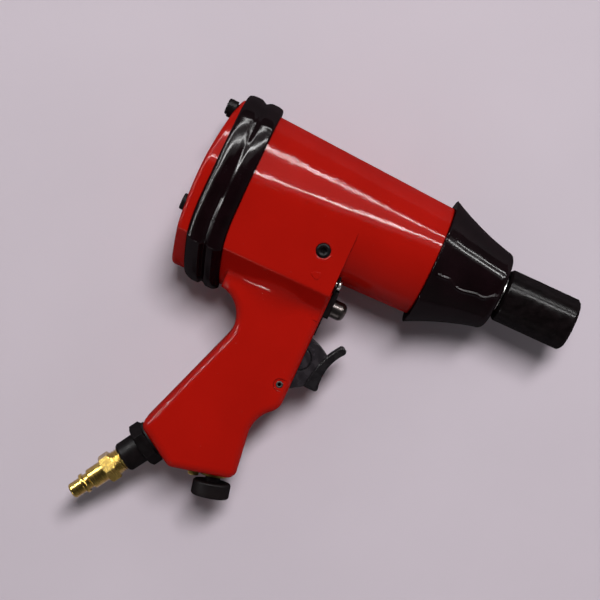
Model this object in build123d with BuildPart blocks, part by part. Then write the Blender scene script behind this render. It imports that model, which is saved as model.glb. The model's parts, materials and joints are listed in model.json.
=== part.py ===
from build123d import *
from math import acos, asin, cos, degrees, radians, sin, sqrt, tan
import os

# Air impact wrench with a half-inch square drive, lying on its left side in millimetres.
# X runs along the spindle to the drive end, Y up the tool from the handle, Z out of its right side.
# Stations along X are counted from the joint of housing and cover. The origin is on the rest surface,
# straight below the spindle, in the middle of the flat on the bumper's front ridge.

# Fits
fit = 0.05
running_fit = 0.05
slide_fit = 0.04
loose = 0.3

# Body section at the joint: a round crown, sloping shoulders and flat sides that taper to a circle
barrel_length = 113.0
rear_crown = 35.8
barrel_radius = 29.65
crown_radius = 25.4
shoulder_angle = 29.0
slope_radius = 121.0
waist_angle = 18.5
waist_radius = 25.0
belly_depth = 31.6
block_length = 69.0
crease_drop = 37.8
skirt_angle = 36.0
lobe_drop = 36.0
neck_radius = 9.0
flange_proud = 2.2
flange_depth = 4.5
flange_low = 33.0

# Handle
grip_half = 17.0
grip_top = 22.0
grip_step = 1.5
brow_drop = 97.5
brow_radius = 9.0
brow_turn = 50.0
hollow_radius = 17.6
grip_flare = 8.0
grip_lean = 19.7
web_radius = 16.4
grip_corner = 5.2
grip_round = 4.8

# Rear cover, its gasket and screws
gasket = 0.5
cover_depth = 16.7
cover_dome = 210.0
cover_dome_drop = 9.0
cover_round = 2.5
cover_flange = 5.0
cover_recess_radius = 12.5
cover_recess = 8.0
screw_radius = 2.5
screw_head_radius = 4.25
screw_head = 5.0
screw_seat = 13.6
screw_reach = 13.0
screw_hex = 4.0
screw_hex_depth = 2.6
screw_clearance = 0.3
upper_screw_rise = 28.6
upper_screw_out = 11.8
lower_screw_drop = 24.8
lower_screw_out = 26.6

# Rubber bumper
bumper_rear = 10.8
bumper_front = 8.6
bumper_groove = 1.0
bumper_proud = 4.0
bumper_flat = 0.7
bumper_round = 3.2
bumper_valley = 2.4
bumper_bend = 105.0
bumper_bend_drop = 20.0

# Air motor
motor_radius = 25.0
block_wall = 10.0
plate_thickness = 9.95
cylinder_bore = 19.5
cylinder_offset = 1.8
rotor_gap = 0.3
rotor_play = 0.2
vane_count = 6
vane_thickness = 2.4
vane_height = 7.5
vane_play = 0.1
dowel_radius = 1.5
dowel_orbit = 21.4
dowel_angle = 155.0
dowel_into_plate = 5.0

# Ball bearings of the rotor
journal_play = 0.5
rotor_journal = 6.0
rotor_stub = 2.0
bearing_radius = 14.0
bearing_width = 8.0
ball_radius = 2.2
ball_pitch = 9.9
ball_count = 8
race_gap = 2.6

# Hammer mechanism
hammer_radius = 24.0
nose_wall = 7.0
rotor_hex = 10.0
cage_gap = 1.4
cage_clearance = 1.2
cage_wall = 6.0
cage_window = 30.0
cage_bore = 18.6
dog_play = 0.3
dog_radius = 16.2
dog_bore = 11.8
dog_pad_width = 6.0
dog_pad_play = 0.6
dog_notch_play = 1.0
ear_radius = 5.2
hammer_pin_radius = 3.0
hammer_pin_orbit = 17.2

# Anvil, drive square and socket
anvil_core = 9.0
anvil_lug_play = 0.7
lug_angle = 125.0
anvil_lug_width = 5.0
collar_radius = 14.0
collar_thickness = 5.2
collar_gap = 0.5
journal_radius = 10.0
bushing_wall = 2.45
journal_proud = 4.1
drive_square = 12.7
drive_length = 15.4
drive_round = 1.2
drive_chamfer = 0.8
bushing_sink = 0.5
ring_reach = 9.9
ring_width = 1.8
ring_depth = 0.9
ring_proud = 0.06
socket_gap = 0.3
socket_radius = 14.2
socket_length = 39.6
socket_rear_chamfer = 1.2
socket_front_round = 1.9
socket_square_play = 0.15
socket_square_depth = 18.0
socket_hex = 19.0
socket_hex_depth = 16.0
socket_web_bore = 5.6

# Nose of the housing and its boot
nose_step = 2.45
nose_taper = 18.0
nose_middle_radius = 22.4
nose_length = 33.5
nose_end_radius = 17.6
lip_overlap = 3.0
lip_wall = 4.55
lip_edge = 0.9
lip_fit = 0.2
boot_middle_radius = 25.5
boot_shoulder_radius = 21.4
boot_round = 4.0
boot_wall = 2.5
boot_mouth = 13.2

# Trigger
pivot_back = 5.4
pivot_drop = 89.8
pivot_pin_radius = 1.8
pivot_recess = 3.2
pivot_recess_depth = 0.6
trigger_core_half = 5.0
trigger_slot_play = 0.6
trigger_reach = 28.3
trigger_back = 3.0
trigger_eye = 4.6
trigger_front_angle = 52.5
trigger_boss_back = 1.3
trigger_boss_drop = 74.0
trigger_boss_radius = 6.6
trigger_groove = 0.8
trigger_groove_depth = 0.6
blade_half = 8.5
blade_tip_proud = 17.5
blade_tip_drop = 61.6
blade_tip_radius = 1.9
blade_tip_turn = 25.0
blade_foot_proud = 14.4
blade_heel_proud = 6.9
blade_foot_drop = 86.2
blade_foot_round = 1.6
blade_front_sag = 3.1
blade_back_sag = 2.0

# Throttle valve behind the trigger
throttle_drop = 74.5
chamber_radius = 7.0
chamber_length = 12.4
seat_back = 1.55
seat_length = 6.5
seat_bore = 3.4
stem_radius = 1.9
stem_gap = 0.25
valve_radius = 5.2
valve_thickness = 3.5
throttle_guide = 2.0
way_radius = 1.4
valve_gap = 0.1
valve_guide_radius = 2.0
valve_guide = 2.5
spring_wire = 0.55
spring_radius = 3.4
spring_turns = 4

# Reverse valve and its plate
reverse_drop = 43.5
reverse_radius = 4.9
reverse_back = 34.5
reverse_proud = 11.0
reverse_groove_radius = 3.4
reverse_travel = 5.0
reverse_dome = 3.2
plate_thin = 0.8
plate_thick = 3.2
plate_half = 9.0
plate_shoulder_half = 16.5
plate_shoulder_drop = 36.0
plate_top_drop = 25.5
plate_barrel_gap = 0.6
plate_corner = 2.0
plate_bottom_drop = 60.0
plate_block_top = 34.0
plate_block_bottom = 49.5
plate_screw_drop = 31.0
plate_screw_out = 13.2
plate_screw_radius = 1.5
plate_screw_head_radius = 2.6
plate_screw_head = 1.9
plate_screw_length = 7.0

# Oil plug in the right side
oil_back = 12.5
oil_drop = 18.0
oil_plug_radius = 3.3
oil_sink_radius = 4.3
oil_sink = 0.9
oil_plug_length = 6.0
oil_hex = 3.0
oil_hex_depth = 2.2
oil_way_radius = 1.5

# Power regulator in the base of the handle
regulator_back = 16.8
base_drop = 146.9
base_tilt = 13.5
regulator_bush_radius = 7.0
regulator_bush_proud = 2.0
regulator_bush_depth = 9.0
regulator_stem_radius = 4.0
regulator_stem_depth = 16.0
knob_start = 4.9
knob_radius = 10.0
knob_height = 8.2
knob_chamfer = 0.7
knob_socket = 5.0

# Brass plug in the base
brass_back = 27.1
brass_radius = 3.0
brass_proud = 3.6
brass_depth = 7.0
brass_round = 0.8

# Air inlet
inlet_back = 52.9
inlet_drop = 144.2
inlet_tilt = -32.0
heel_reach = 10.4
washer_thickness = 1.4
washer_radius = 10.2
inlet_thread_radius = 8.0
inlet_thread = 12.0
inlet_hex = 20.8
inlet_hex_end = 8.0
inlet_body_radius = 8.0
inlet_end = 19.0
inlet_chamfer = 1.0
inlet_waterway = 4.5
screen_radius = 5.8
screen_length = 9.0
screen_wall = 0.8
passage_radius = 4.5

# Brass quick-connect plug
coupler_start = 11.0
coupler_neck_radius = 6.35
coupler_hex = 14.0
coupler_hex_start = 24.0
coupler_hex_end = 30.0
coupler_sleeve_radius = 5.5
coupler_sleeve_end = 39.3
coupler_neck = 4.3
coupler_ring_start = 41.7
coupler_ring_end = 43.7
coupler_tip_radius = 4.1
coupler_end = 51.0
coupler_bore = 3.0
coupler_chamfer = 0.7

# Exhaust at the foot of the handle's front
exhaust_drop = 138.5
exhaust_height = 4.0
exhaust_width = 23.0
exhaust_depth = 4.0
silencer_sink = 0.4
exhaust_way_radius = 2.2
exhaust_way_out = 10.0
exhaust_way_back = 21.0

# Body section worked out from the values above
shoulder = radians(shoulder_angle)
waist = radians(waist_angle)
skirt = radians(skirt_angle)
crown_rise = rear_crown - crown_radius
slope_rise = crown_rise + (crown_radius - slope_radius) * sin(shoulder)
slope_out = (crown_radius - slope_radius) * cos(shoulder)
waist_rise = slope_rise + (slope_radius - waist_radius) * sin(waist)
waist_out = slope_out + (slope_radius - waist_radius) * cos(waist)
rear_half = waist_out + waist_radius
axis_height = rear_half + bumper_proud - bumper_flat
rest_x = (bumper_front - bumper_groove) / 2
grip_front = block_length + grip_step
regulator_x = grip_front - regulator_back
brass_x = grip_front - brass_back
inlet_x = grip_front - inlet_back
spindle = Axis((0, 0, axis_height), (1, 0, 0))
forwards = (1, 0, 0)
backwards = (-1, 0, 0)
from_end = (Align.CENTER, Align.CENTER, Align.MIN)
to_end = (Align.CENTER, Align.CENTER, Align.MAX)


def spot(x, drop, out=0):
    """Point at station x, a drop below the spindle and a distance out of the right side."""
    return Vector(x - rest_x, -drop, axis_height + out)


def across(x):
    """Plane square to the spindle at station x: its x runs up the tool, its y out of the right side."""
    return Plane(origin=spot(x, 0), x_dir=(0, 1, 0), z_dir=(1, 0, 0))


def side(out=0):
    """Plane along the tool's middle, moved out of the right side: x from the joint, y from the spindle."""
    return Plane(origin=spot(0, 0, out), x_dir=(1, 0, 0), z_dir=(0, 0, 1))


def upwards(x, drop, out=0):
    """Plane square to a drilling that runs up the tool from a point below the spindle."""
    return Plane(origin=spot(x, drop, out), z_dir=(0, 1, 0))


def below(x, drop, tilt, reach=0):
    """Plane square to an axis that leaves the handle downwards, tilted forwards, at a reach along it."""
    lean = radians(tilt)
    start = spot(x + reach * sin(lean), drop + reach * cos(lean))
    return Plane(origin=start, x_dir=(cos(lean), sin(lean), 0), z_dir=(sin(lean), -cos(lean), 0))


def at_inlet(reach):
    """Plane square to the air inlet at a reach from the handle's face."""
    return below(inlet_x, inlet_drop, inlet_tilt, reach)


def at_base(x, reach):
    """Plane square to the regulator's axis, on the base line of the handle above station x."""
    along = x - regulator_x
    return below(x, base_drop - along * tan(radians(base_tilt)), base_tilt, reach)


def half_width(x):
    """Half the width between the flat sides at station x."""
    part = x / barrel_length
    return waist_out * (1 - part) + waist_radius * (1 - part) + barrel_radius * part


def lobe_radius(x):
    """Radius of the rounded bottom of the rear body, tangent to the skirts that start at the creases."""
    return half_width(x) * sin(skirt) + (crease_drop - lobe_drop) * cos(skirt)


def upper_arcs(x):
    """Crown, shoulders and waist of the body at station x, blended in step from the joint to a circle."""
    part = x / barrel_length
    rest = 1 - part
    crown = crown_radius * rest + barrel_radius * part
    slope = slope_radius * rest + barrel_radius * part
    waist_arc = waist_radius * rest + barrel_radius * part
    turn = shoulder_angle - waist_angle
    CenterArc((crown_rise * rest, 0), crown, shoulder_angle - 90, 180 - 2 * shoulder_angle)
    CenterArc((slope_rise * rest, slope_out * rest), slope, 90 - shoulder_angle, turn)
    CenterArc((slope_rise * rest, -slope_out * rest), slope, waist_angle - 90, turn)
    CenterArc((waist_rise * rest, waist_out * rest), waist_arc, 90 - waist_angle, waist_angle)
    CenterArc((waist_rise * rest, -waist_out * rest), waist_arc, -90, waist_angle)


def flat_sides(x):
    """Flat sides of the body at station x, from the waist down to the creases."""
    waist_end = waist_rise * (1 - x / barrel_length)
    for out in (half_width(x), -half_width(x)):
        Line((waist_end, out), (-crease_drop, out))


def rear_outline(x, place, grow=0, low=0, corner=Kind.ARC):
    """Outline of the rear body as at station x, put at another place along the spindle.

    It holds the crown, the flat sides, the skirts and the lobe below. It can be grown outwards,
    and cut off at a depth below the spindle.
    """
    lobe = lobe_radius(x)
    with BuildSketch(across(place)) as outline:
        with BuildLine():
            upper_arcs(x)
            flat_sides(x)
            for hand in (1, -1):
                skirt_end = (-lobe_drop - lobe * cos(skirt), hand * lobe * sin(skirt))
                Line((-crease_drop, hand * half_width(x)), skirt_end)
            CenterArc((-lobe_drop, 0), lobe, 180 - skirt_angle, 2 * skirt_angle)
        make_face()
        if grow:
            offset(amount=grow, kind=corner)
        if low:
            with Locations((2 * rear_crown - low, 0)):
                Rectangle(4 * rear_crown, 4 * rear_half, mode=Mode.INTERSECT)
    return outline.sketch


def neck_outline(x):
    """Outline of the motor block at station x: its skirts run in hollow curves into the handle's sides."""
    out = grip_half + neck_radius
    drop = crease_drop + (neck_radius - (out - half_width(x)) * sin(skirt)) / cos(skirt)
    with BuildSketch(across(x)) as outline:
        with BuildLine():
            upper_arcs(x)
            flat_sides(x)
            for hand in (1, -1):
                skirt_end = (-drop + neck_radius * cos(skirt), hand * (out - neck_radius * sin(skirt)))
                Line((-crease_drop, hand * half_width(x)), skirt_end)
            CenterArc((-drop, out), neck_radius, -90, 90 - skirt_angle)
            CenterArc((-drop, -out), neck_radius, skirt_angle, 90 - skirt_angle)
            Line((-drop, grip_half), (-drop, -grip_half))
        make_face()
    return outline.sketch


def barrel_outline(x):
    """Outline of the barrel in front of the motor block at station x, round underneath."""
    part = x / barrel_length
    belly = belly_depth * (1 - part) + barrel_radius * part
    waist_end = waist_rise * (1 - part)
    with BuildSketch(across(x)) as outline:
        with BuildLine():
            upper_arcs(x)
            ThreePointArc((waist_end, half_width(x)), (-belly, 0), (waist_end, -half_width(x)))
        make_face()
    return outline.sketch


# Bumper's lean below the flat sides, and the lobe that ends in front of it
lobe_bottom = lobe_drop + lobe_radius(0)
bumper_low = lobe_bottom + bumper_proud
bumper_shift = bumper_bend - sqrt(bumper_bend**2 - (bumper_low - bumper_bend_drop) ** 2)
bumper_turn = degrees(asin((bumper_low + bumper_proud - bumper_bend_drop) / bumper_bend))
lobe_length = bumper_front + bumper_shift + loose
screw_spots = [
    (upper_screw_rise, upper_screw_out),
    (upper_screw_rise, -upper_screw_out),
    (-lower_screw_drop, lower_screw_out),
    (-lower_screw_drop, -lower_screw_out),
]

# Corners and tangent points of the handle's outline
flare = radians(grip_flare)
lean = radians(grip_lean)
turn = radians(brow_turn)
base = radians(base_tilt)
face = radians(inlet_tilt)
brow_end_x = grip_front - brow_radius * (1 - cos(turn))
brow_end_y = -brow_drop - brow_radius * sin(turn)
hollow_x = brow_end_x + hollow_radius * cos(turn)
hollow_y = brow_end_y - hollow_radius * sin(turn)
flare_x = hollow_x - hollow_radius * cos(flare)
flare_y = hollow_y - hollow_radius * sin(flare)
front_run = flare_y + base_drop - (flare_x - regulator_x) * tan(base)
front_run = front_run / (1 + tan(flare) * tan(base))
toe_x = flare_x + front_run * tan(flare)
toe_y = flare_y - front_run
foot_rise = base_drop - inlet_drop + regulator_x * tan(base) - inlet_x * tan(face)
foot_x = foot_rise / (tan(base) - tan(face))
foot_y = -base_drop + (foot_x - regulator_x) * tan(base)
heel_x = inlet_x - heel_reach * cos(face)
heel_y = -inlet_drop - heel_reach * sin(face)
web_y = -lobe_bottom - web_radius
back_run = (web_y - heel_y - web_radius * sin(lean)) / cos(lean)
web_x = heel_x + back_run * sin(lean) - web_radius * cos(lean)
web_turn = grip_lean + degrees(acos((lobe_length - web_x) / web_radius))
back_x = heel_x + back_run * sin(lean)
back_y = heel_y + back_run * cos(lean)
lobe_front_y = web_y + sqrt(web_radius**2 - (lobe_length - web_x) ** 2)

# Stations and sizes of the motor, the hammers, the nose and the drive along the spindle
motor_length = block_length - block_wall
exhaust_way_x = motor_length - exhaust_way_back
hammer_end = barrel_length - nose_wall
nose_shoulder = barrel_radius - nose_step
nose_middle = barrel_length + nose_taper
nose_end = barrel_length + nose_length
lip_station = barrel_length - lip_overlap
lip_radius = barrel_radius + lip_fit + lip_wall
boot_end = nose_end + boot_wall
boot_shoulder = boot_end - boot_round
journal_end = nose_end + journal_proud
drive_end = journal_end + drive_length
ring_station = journal_end + ring_reach
rear_plate_end = plate_thickness - gasket
front_plate_start = motor_length - plate_thickness
rotor_radius = cylinder_bore - cylinder_offset - rotor_gap
rotor_start = rear_plate_end + rotor_play
rotor_end = front_plate_start - rotor_play
cage_radius = hammer_radius - cage_clearance
cage_start = motor_length + cage_gap
cage_end = hammer_end - 2 * collar_gap - collar_thickness
cage_length = cage_end - cage_start
dog_length = (cage_length - 2 * cage_wall - 3 * dog_play) / 2
rear_dog_start = cage_start + cage_wall + dog_play
front_dog_start = rear_dog_start + dog_length + dog_play
anvil_lug_radius = dog_bore - anvil_lug_play
collar_start = cage_end + collar_gap
collar_end = hammer_end - collar_gap
bushing_radius = journal_radius + running_fit + bushing_wall
socket_start = journal_end + socket_gap
socket_end = socket_start + socket_length
ring_radius = drive_square / 2 + ring_proud
groove_floor = drive_square / 2 - ring_depth

# Stations of the trigger and the oil plug
pivot_x = grip_front - pivot_back
trigger_boss_x = grip_front - trigger_boss_back
blade_tip_x = grip_front + blade_tip_proud
blade_foot_x = grip_front + blade_foot_proud
blade_heel_x = grip_front + blade_heel_proud
oil_x = block_length - oil_back

# Stations of the valves: the reverse spool's groove joins the supply to one motor port or the other
slot_back = pivot_x - trigger_reach / 2 + trigger_back
seat_front = slot_back - seat_back
seat_rear = seat_front - seat_length
chamber_rear = seat_rear - chamber_length
reverse_rear = grip_front - reverse_back
reverse_front = grip_front + reverse_proud
supply_x = seat_front - throttle_guide - way_radius - loose
groove_rear = supply_x - way_radius - loose
groove_front = groove_rear + reverse_travel + 4 * way_radius + 2 * loose
rear_port_x = groove_rear - reverse_travel + way_radius + loose
front_port_x = groove_front - way_radius - loose
plate_spots = [(-plate_screw_drop, plate_screw_out), (-plate_screw_drop, -plate_screw_out)]
foot_front_x = flare_x + (flare_y + exhaust_drop) * tan(flare)

os.makedirs("parts", exist_ok=True)

# Housing: handle first, so that its long edges are rounded before it joins the block
with BuildPart() as housing:
    with BuildSketch(side()):
        with BuildLine():
            Line((lobe_length, -grip_top), (grip_front, -grip_top))
            Line((grip_front, -grip_top), (grip_front, -brow_drop))
            CenterArc((grip_front - brow_radius, -brow_drop), brow_radius, -brow_turn, brow_turn)
            CenterArc((hollow_x, hollow_y), hollow_radius, 180 - brow_turn, brow_turn + grip_flare)
            Line((flare_x, flare_y), (toe_x, toe_y))
            Line((toe_x, toe_y), (foot_x, foot_y))
            Line((foot_x, foot_y), (heel_x, heel_y))
            Line((heel_x, heel_y), (back_x, back_y))
            CenterArc((web_x, web_y), web_radius, -grip_lean, web_turn)
            Line((lobe_length, lobe_front_y), (lobe_length, -grip_top))
        make_face()
        fillet(vertices().sort_by(Axis.Y)[0:3], grip_corner)
    extrude(amount=grip_half, both=True)
    long_edges = edges().group_by(Axis.Z)[0] + edges().group_by(Axis.Z)[-1]
    front_x = spot(grip_front, 0).X - fit
    rounded = long_edges.filter_by(lambda e: e.center().Y < -lobe_bottom and e.center().X < front_x)
    fillet(rounded, grip_round)
    # Rear body with its lobe, motor block and barrel
    loft([rear_outline(0, 0), rear_outline(lobe_length, lobe_length)], ruled=True)
    loft([neck_outline(lobe_length), neck_outline(block_length)], ruled=True)
    loft([barrel_outline(block_length), barrel_outline(barrel_length)], ruled=True)
    extrude(rear_outline(0, 0, flange_proud, flange_low), amount=flange_depth, dir=forwards)
    # Nose that carries the anvil's bushing
    with BuildSketch(side()):
        with BuildLine():
            Polyline(
                (hammer_end, 0),
                (hammer_end, nose_shoulder),
                (barrel_length, nose_shoulder),
                (nose_middle, nose_middle_radius),
                (nose_end, nose_end_radius),
                (nose_end, 0),
                close=True,
            )
        make_face()
    revolve(axis=spindle)
    # Motor bore, hammer bore and the bushing's bore
    with BuildSketch(across(0)):
        Circle(motor_radius)
    extrude(amount=motor_length, mode=Mode.SUBTRACT)
    with BuildSketch(across(0)):
        Circle(hammer_radius)
    extrude(amount=hammer_end, mode=Mode.SUBTRACT)
    with BuildSketch(across(0)):
        Circle(bushing_radius)
    extrude(amount=nose_end, mode=Mode.SUBTRACT)
    # Threaded holes of the cover screws
    with BuildSketch(across(0)):
        with Locations(*screw_spots):
            Circle(screw_radius + fit)
    extrude(amount=screw_reach + loose, mode=Mode.SUBTRACT)
    # Trigger slot with its pin and the recesses round the pin's ends
    slot_top = pivot_drop - trigger_reach - trigger_slot_play
    slot_bottom = pivot_drop + trigger_eye + trigger_slot_play
    with BuildSketch(side()):
        with BuildLine():
            Polyline(
                (slot_back, -slot_top),
                (grip_front + fit, -slot_top),
                (grip_front + fit, -slot_bottom),
                (slot_back, -slot_bottom),
                close=True,
            )
        make_face()
    extrude(amount=trigger_core_half + trigger_slot_play, both=True, mode=Mode.SUBTRACT)
    with BuildSketch(side()):
        with Locations((pivot_x, -pivot_drop)):
            Circle(pivot_pin_radius + fit)
    extrude(amount=grip_half, both=True, mode=Mode.SUBTRACT)
    recess_middle = (pivot_x + grip_front) / 2
    for out in (grip_half - pivot_recess_depth, -grip_half):
        with BuildSketch(side(out)):
            with Locations((pivot_x, -pivot_drop)):
                Circle(pivot_recess)
            with Locations((recess_middle, -pivot_drop)):
                Rectangle(grip_front - pivot_x + fit, 2 * pivot_recess)
        extrude(amount=pivot_recess_depth, mode=Mode.SUBTRACT)
    # Throttle chamber, reverse bore and the plate's screw hole, all along the spindle's direction
    with BuildSketch(across(chamber_rear)):
        with Locations((-throttle_drop, 0)):
            Circle(chamber_radius)
    extrude(amount=slot_back - chamber_rear + fit, mode=Mode.SUBTRACT)
    with BuildSketch(across(reverse_rear - reverse_travel - loose)):
        with Locations((-reverse_drop, 0)):
            Circle(reverse_radius + slide_fit)
    extrude(amount=grip_front - reverse_rear + reverse_travel + 2 * loose, mode=Mode.SUBTRACT)
    with BuildSketch(across(grip_front)):
        with Locations(*plate_spots):
            Circle(plate_screw_radius + fit)
    extrude(amount=-plate_screw_length, mode=Mode.SUBTRACT)
    # Air ways from the throttle up to the reverse valve, and from there to the motor's two ports
    for station, drop, top in (
        (supply_x, throttle_drop, reverse_drop),
        (rear_port_x, reverse_drop, motor_radius),
        (front_port_x, reverse_drop, motor_radius),
    ):
        with Locations(upwards(station, drop)):
            Cylinder(way_radius, drop - top + loose, align=from_end, mode=Mode.SUBTRACT)
    # Exhaust ways beside them, down from the motor to the slot in the foot
    for out in (exhaust_way_out, -exhaust_way_out):
        way_start = spot(exhaust_way_x, sqrt(motor_radius**2 - out**2) - loose, out)
        way_run = spot(foot_front_x - exhaust_depth / 2, exhaust_drop, out) - way_start
        with Locations(Plane(origin=way_start, z_dir=way_run)):
            Cylinder(exhaust_way_radius, way_run.length, align=from_end, mode=Mode.SUBTRACT)
    # Oil plug's hole in the right side, with its countersink and the way into the case
    oil_face = half_width(oil_x)
    with BuildSketch(side(oil_face - oil_sink - oil_plug_length)):
        with Locations((oil_x, -oil_drop)):
            Circle(oil_plug_radius + fit)
    extrude(amount=oil_sink + oil_plug_length + loose, mode=Mode.SUBTRACT)
    with BuildSketch(side(oil_face - oil_sink)):
        with Locations((oil_x, -oil_drop)):
            Circle(oil_sink_radius)
    extrude(amount=oil_sink + loose, mode=Mode.SUBTRACT)
    with BuildSketch(side()):
        with Locations((oil_x, -oil_drop)):
            Circle(oil_way_radius)
    extrude(amount=oil_face, mode=Mode.SUBTRACT)
    # Inlet thread, the air passage up to the throttle and the holes in the base
    with BuildSketch(at_inlet(0)):
        Circle(inlet_thread_radius + fit)
    extrude(amount=-(inlet_thread + screen_length), mode=Mode.SUBTRACT)
    passage_start = at_inlet(-inlet_thread).origin
    passage_end = spot(chamber_rear + chamber_radius, throttle_drop)
    passage_run = passage_end - passage_start
    with BuildSketch(Plane(origin=passage_start, z_dir=passage_run)):
        Circle(passage_radius)
    extrude(amount=passage_run.length, mode=Mode.SUBTRACT)
    with BuildSketch(at_base(regulator_x, 0)):
        Circle(regulator_bush_radius)
    extrude(amount=-regulator_bush_depth, mode=Mode.SUBTRACT)
    with BuildSketch(at_base(regulator_x, 0)):
        Circle(regulator_stem_radius + running_fit)
    extrude(amount=-regulator_stem_depth, mode=Mode.SUBTRACT)
    with BuildSketch(at_base(brass_x, 0)):
        Circle(brass_radius + fit)
    extrude(amount=-brass_depth, mode=Mode.SUBTRACT)
    # Exhaust slot in the front of the foot
    with BuildSketch(across(foot_front_x - exhaust_depth)):
        with Locations((-exhaust_drop, 0)):
            Rectangle(exhaust_height, exhaust_width)
    extrude(amount=2 * exhaust_depth, mode=Mode.SUBTRACT)
housing.part.label = "housing"
export_step(housing.part, "parts/housing.step")

# Rear cover: the joint's outline cut to a domed back
with BuildPart() as rear_cover:
    extrude(rear_outline(0, -gasket), amount=2 * cover_depth, dir=backwards)
    with BuildSketch(side()):
        with Locations((cover_dome - gasket - cover_depth, -cover_dome_drop)):
            Circle(cover_dome)
    extrude(amount=2 * rear_half, both=True, mode=Mode.INTERSECT)
    fillet(faces().filter_by(GeomType.CYLINDER).sort_by(Axis.X)[0].edges(), cover_round)
    extrude(rear_outline(0, -gasket, flange_proud, flange_low), amount=cover_flange, dir=backwards)
    with BuildSketch(across(-gasket)):
        Circle(cover_recess_radius)
    extrude(amount=-cover_recess, mode=Mode.SUBTRACT)
    with BuildSketch(across(-gasket)):
        with Locations(*screw_spots):
            Circle(screw_radius + screw_clearance)
    extrude(amount=-2 * cover_depth, mode=Mode.SUBTRACT)
    with BuildSketch(across(-screw_seat)):
        with Locations(*screw_spots):
            Circle(screw_head_radius + screw_clearance)
    extrude(amount=-cover_depth, mode=Mode.SUBTRACT)
rear_cover.part.label = "rear_cover"
export_step(rear_cover.part, "parts/rear_cover.step")

# Gasket between the housing and the cover
with BuildPart() as cover_gasket:
    extrude(rear_outline(0, -gasket), amount=gasket, dir=forwards)
    with BuildSketch(across(-gasket)):
        Circle(motor_radius)
        with Locations(*screw_spots):
            Circle(screw_radius + screw_clearance)
    extrude(amount=gasket, mode=Mode.SUBTRACT)
cover_gasket.part.label = "cover_gasket"
export_step(cover_gasket.part, "parts/cover_gasket.step")

# Cover screws with socket heads
with BuildPart() as cover_screws:
    with BuildSketch(across(-screw_seat)):
        with Locations(*screw_spots):
            Circle(screw_radius)
    extrude(amount=screw_seat + screw_reach)
    with BuildSketch(across(-screw_seat)):
        with Locations(*screw_spots):
            Circle(screw_head_radius)
    extrude(amount=-screw_head)
    with BuildSketch(across(-screw_seat - screw_head)):
        with Locations(*screw_spots):
            RegularPolygon(screw_hex / 2, 6, major_radius=False)
    extrude(amount=screw_hex_depth, mode=Mode.SUBTRACT)
cover_screws.part.label = "cover_screws"
export_step(cover_screws.part, "parts/cover_screws.step")


def bent_strip(rear, front):
    """Side view of a band round the rear body between two stations, bent forwards lower down."""
    top = rear_crown + 2 * bumper_proud
    with BuildSketch(side()) as strip:
        with BuildLine():
            Line((rear, top), (front, top))
            for start in (rear, front):
                Line((start, top), (start, -bumper_bend_drop))
            rear_arc = CenterArc((rear + bumper_bend, -bumper_bend_drop), bumper_bend, 180, bumper_turn)
            front_arc = CenterArc((front + bumper_bend, -bumper_bend_drop), bumper_bend, 180, bumper_turn)
            Line(rear_arc @ 1, front_arc @ 1)
        make_face()
    return strip.sketch


# Two ridges of the bumper, each rounded over its edges
bumper_run = bumper_rear + bumper_front + bumper_shift
with BuildPart() as rear_ridge:
    extrude(rear_outline(0, -bumper_rear, bumper_proud), amount=bumper_run, dir=forwards)
    extrude(bent_strip(-bumper_rear, -bumper_groove), amount=2 * rear_half, both=True, mode=Mode.INTERSECT)
    fillet(edges().filter_by(Axis.X, reverse=True).filter_by(Axis.Z, reverse=True), bumper_round)
with BuildPart() as front_ridge:
    extrude(rear_outline(0, -bumper_rear, bumper_proud), amount=bumper_run, dir=forwards)
    extrude(bent_strip(-bumper_groove, bumper_front), amount=2 * rear_half, both=True, mode=Mode.INTERSECT)
    fillet(edges().filter_by(Axis.X, reverse=True).filter_by(Axis.Z, reverse=True), bumper_round)

# Bumper: both ridges and the valley between them, hollowed for the body and its flanges
with BuildPart() as bumper:
    extrude(rear_outline(0, -bumper_rear, bumper_valley), amount=bumper_run, dir=forwards)
    valley = bent_strip(-bumper_rear / 2, bumper_front / 2)
    extrude(valley, amount=2 * rear_half, both=True, mode=Mode.INTERSECT)
    add(rear_ridge.part)
    add(front_ridge.part)
    tight = Kind.INTERSECTION
    joint_section = rear_outline(0, 0, fit, 0, tight)
    lobe_section = rear_outline(lobe_length, lobe_length, fit, 0, tight)
    loft([joint_section, lobe_section], ruled=True, mode=Mode.SUBTRACT)
    extrude(joint_section, amount=2 * cover_depth, dir=backwards, mode=Mode.SUBTRACT)
    channel = rear_outline(0, flange_depth + fit, flange_proud + fit, flange_low + fit)
    channel_run = flange_depth + gasket + cover_flange + 2 * fit
    extrude(channel, amount=channel_run, dir=backwards, mode=Mode.SUBTRACT)
    with BuildSketch(side()):
        Rectangle(4 * rear_half, 4 * bumper_low)
    extrude(amount=axis_height, both=True, mode=Mode.INTERSECT)
bumper.part.label = "bumper"
export_step(bumper.part, "parts/bumper.step")

# End plates of the air motor with their bearing pockets
with BuildPart() as rear_end_plate:
    with Locations(across(-gasket)):
        Cylinder(motor_radius - fit, plate_thickness, align=from_end)
        Cylinder(bearing_radius, bearing_width, align=from_end, mode=Mode.SUBTRACT)
        Cylinder(rotor_journal + journal_play, plate_thickness, align=from_end, mode=Mode.SUBTRACT)
    with BuildSketch(across(rear_plate_end)):
        with PolarLocations(dowel_orbit, 1, dowel_angle):
            Circle(dowel_radius + fit)
    extrude(amount=-dowel_into_plate, mode=Mode.SUBTRACT)
rear_end_plate.part.label = "rear_end_plate"
export_step(rear_end_plate.part, "parts/rear_end_plate.step")

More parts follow.
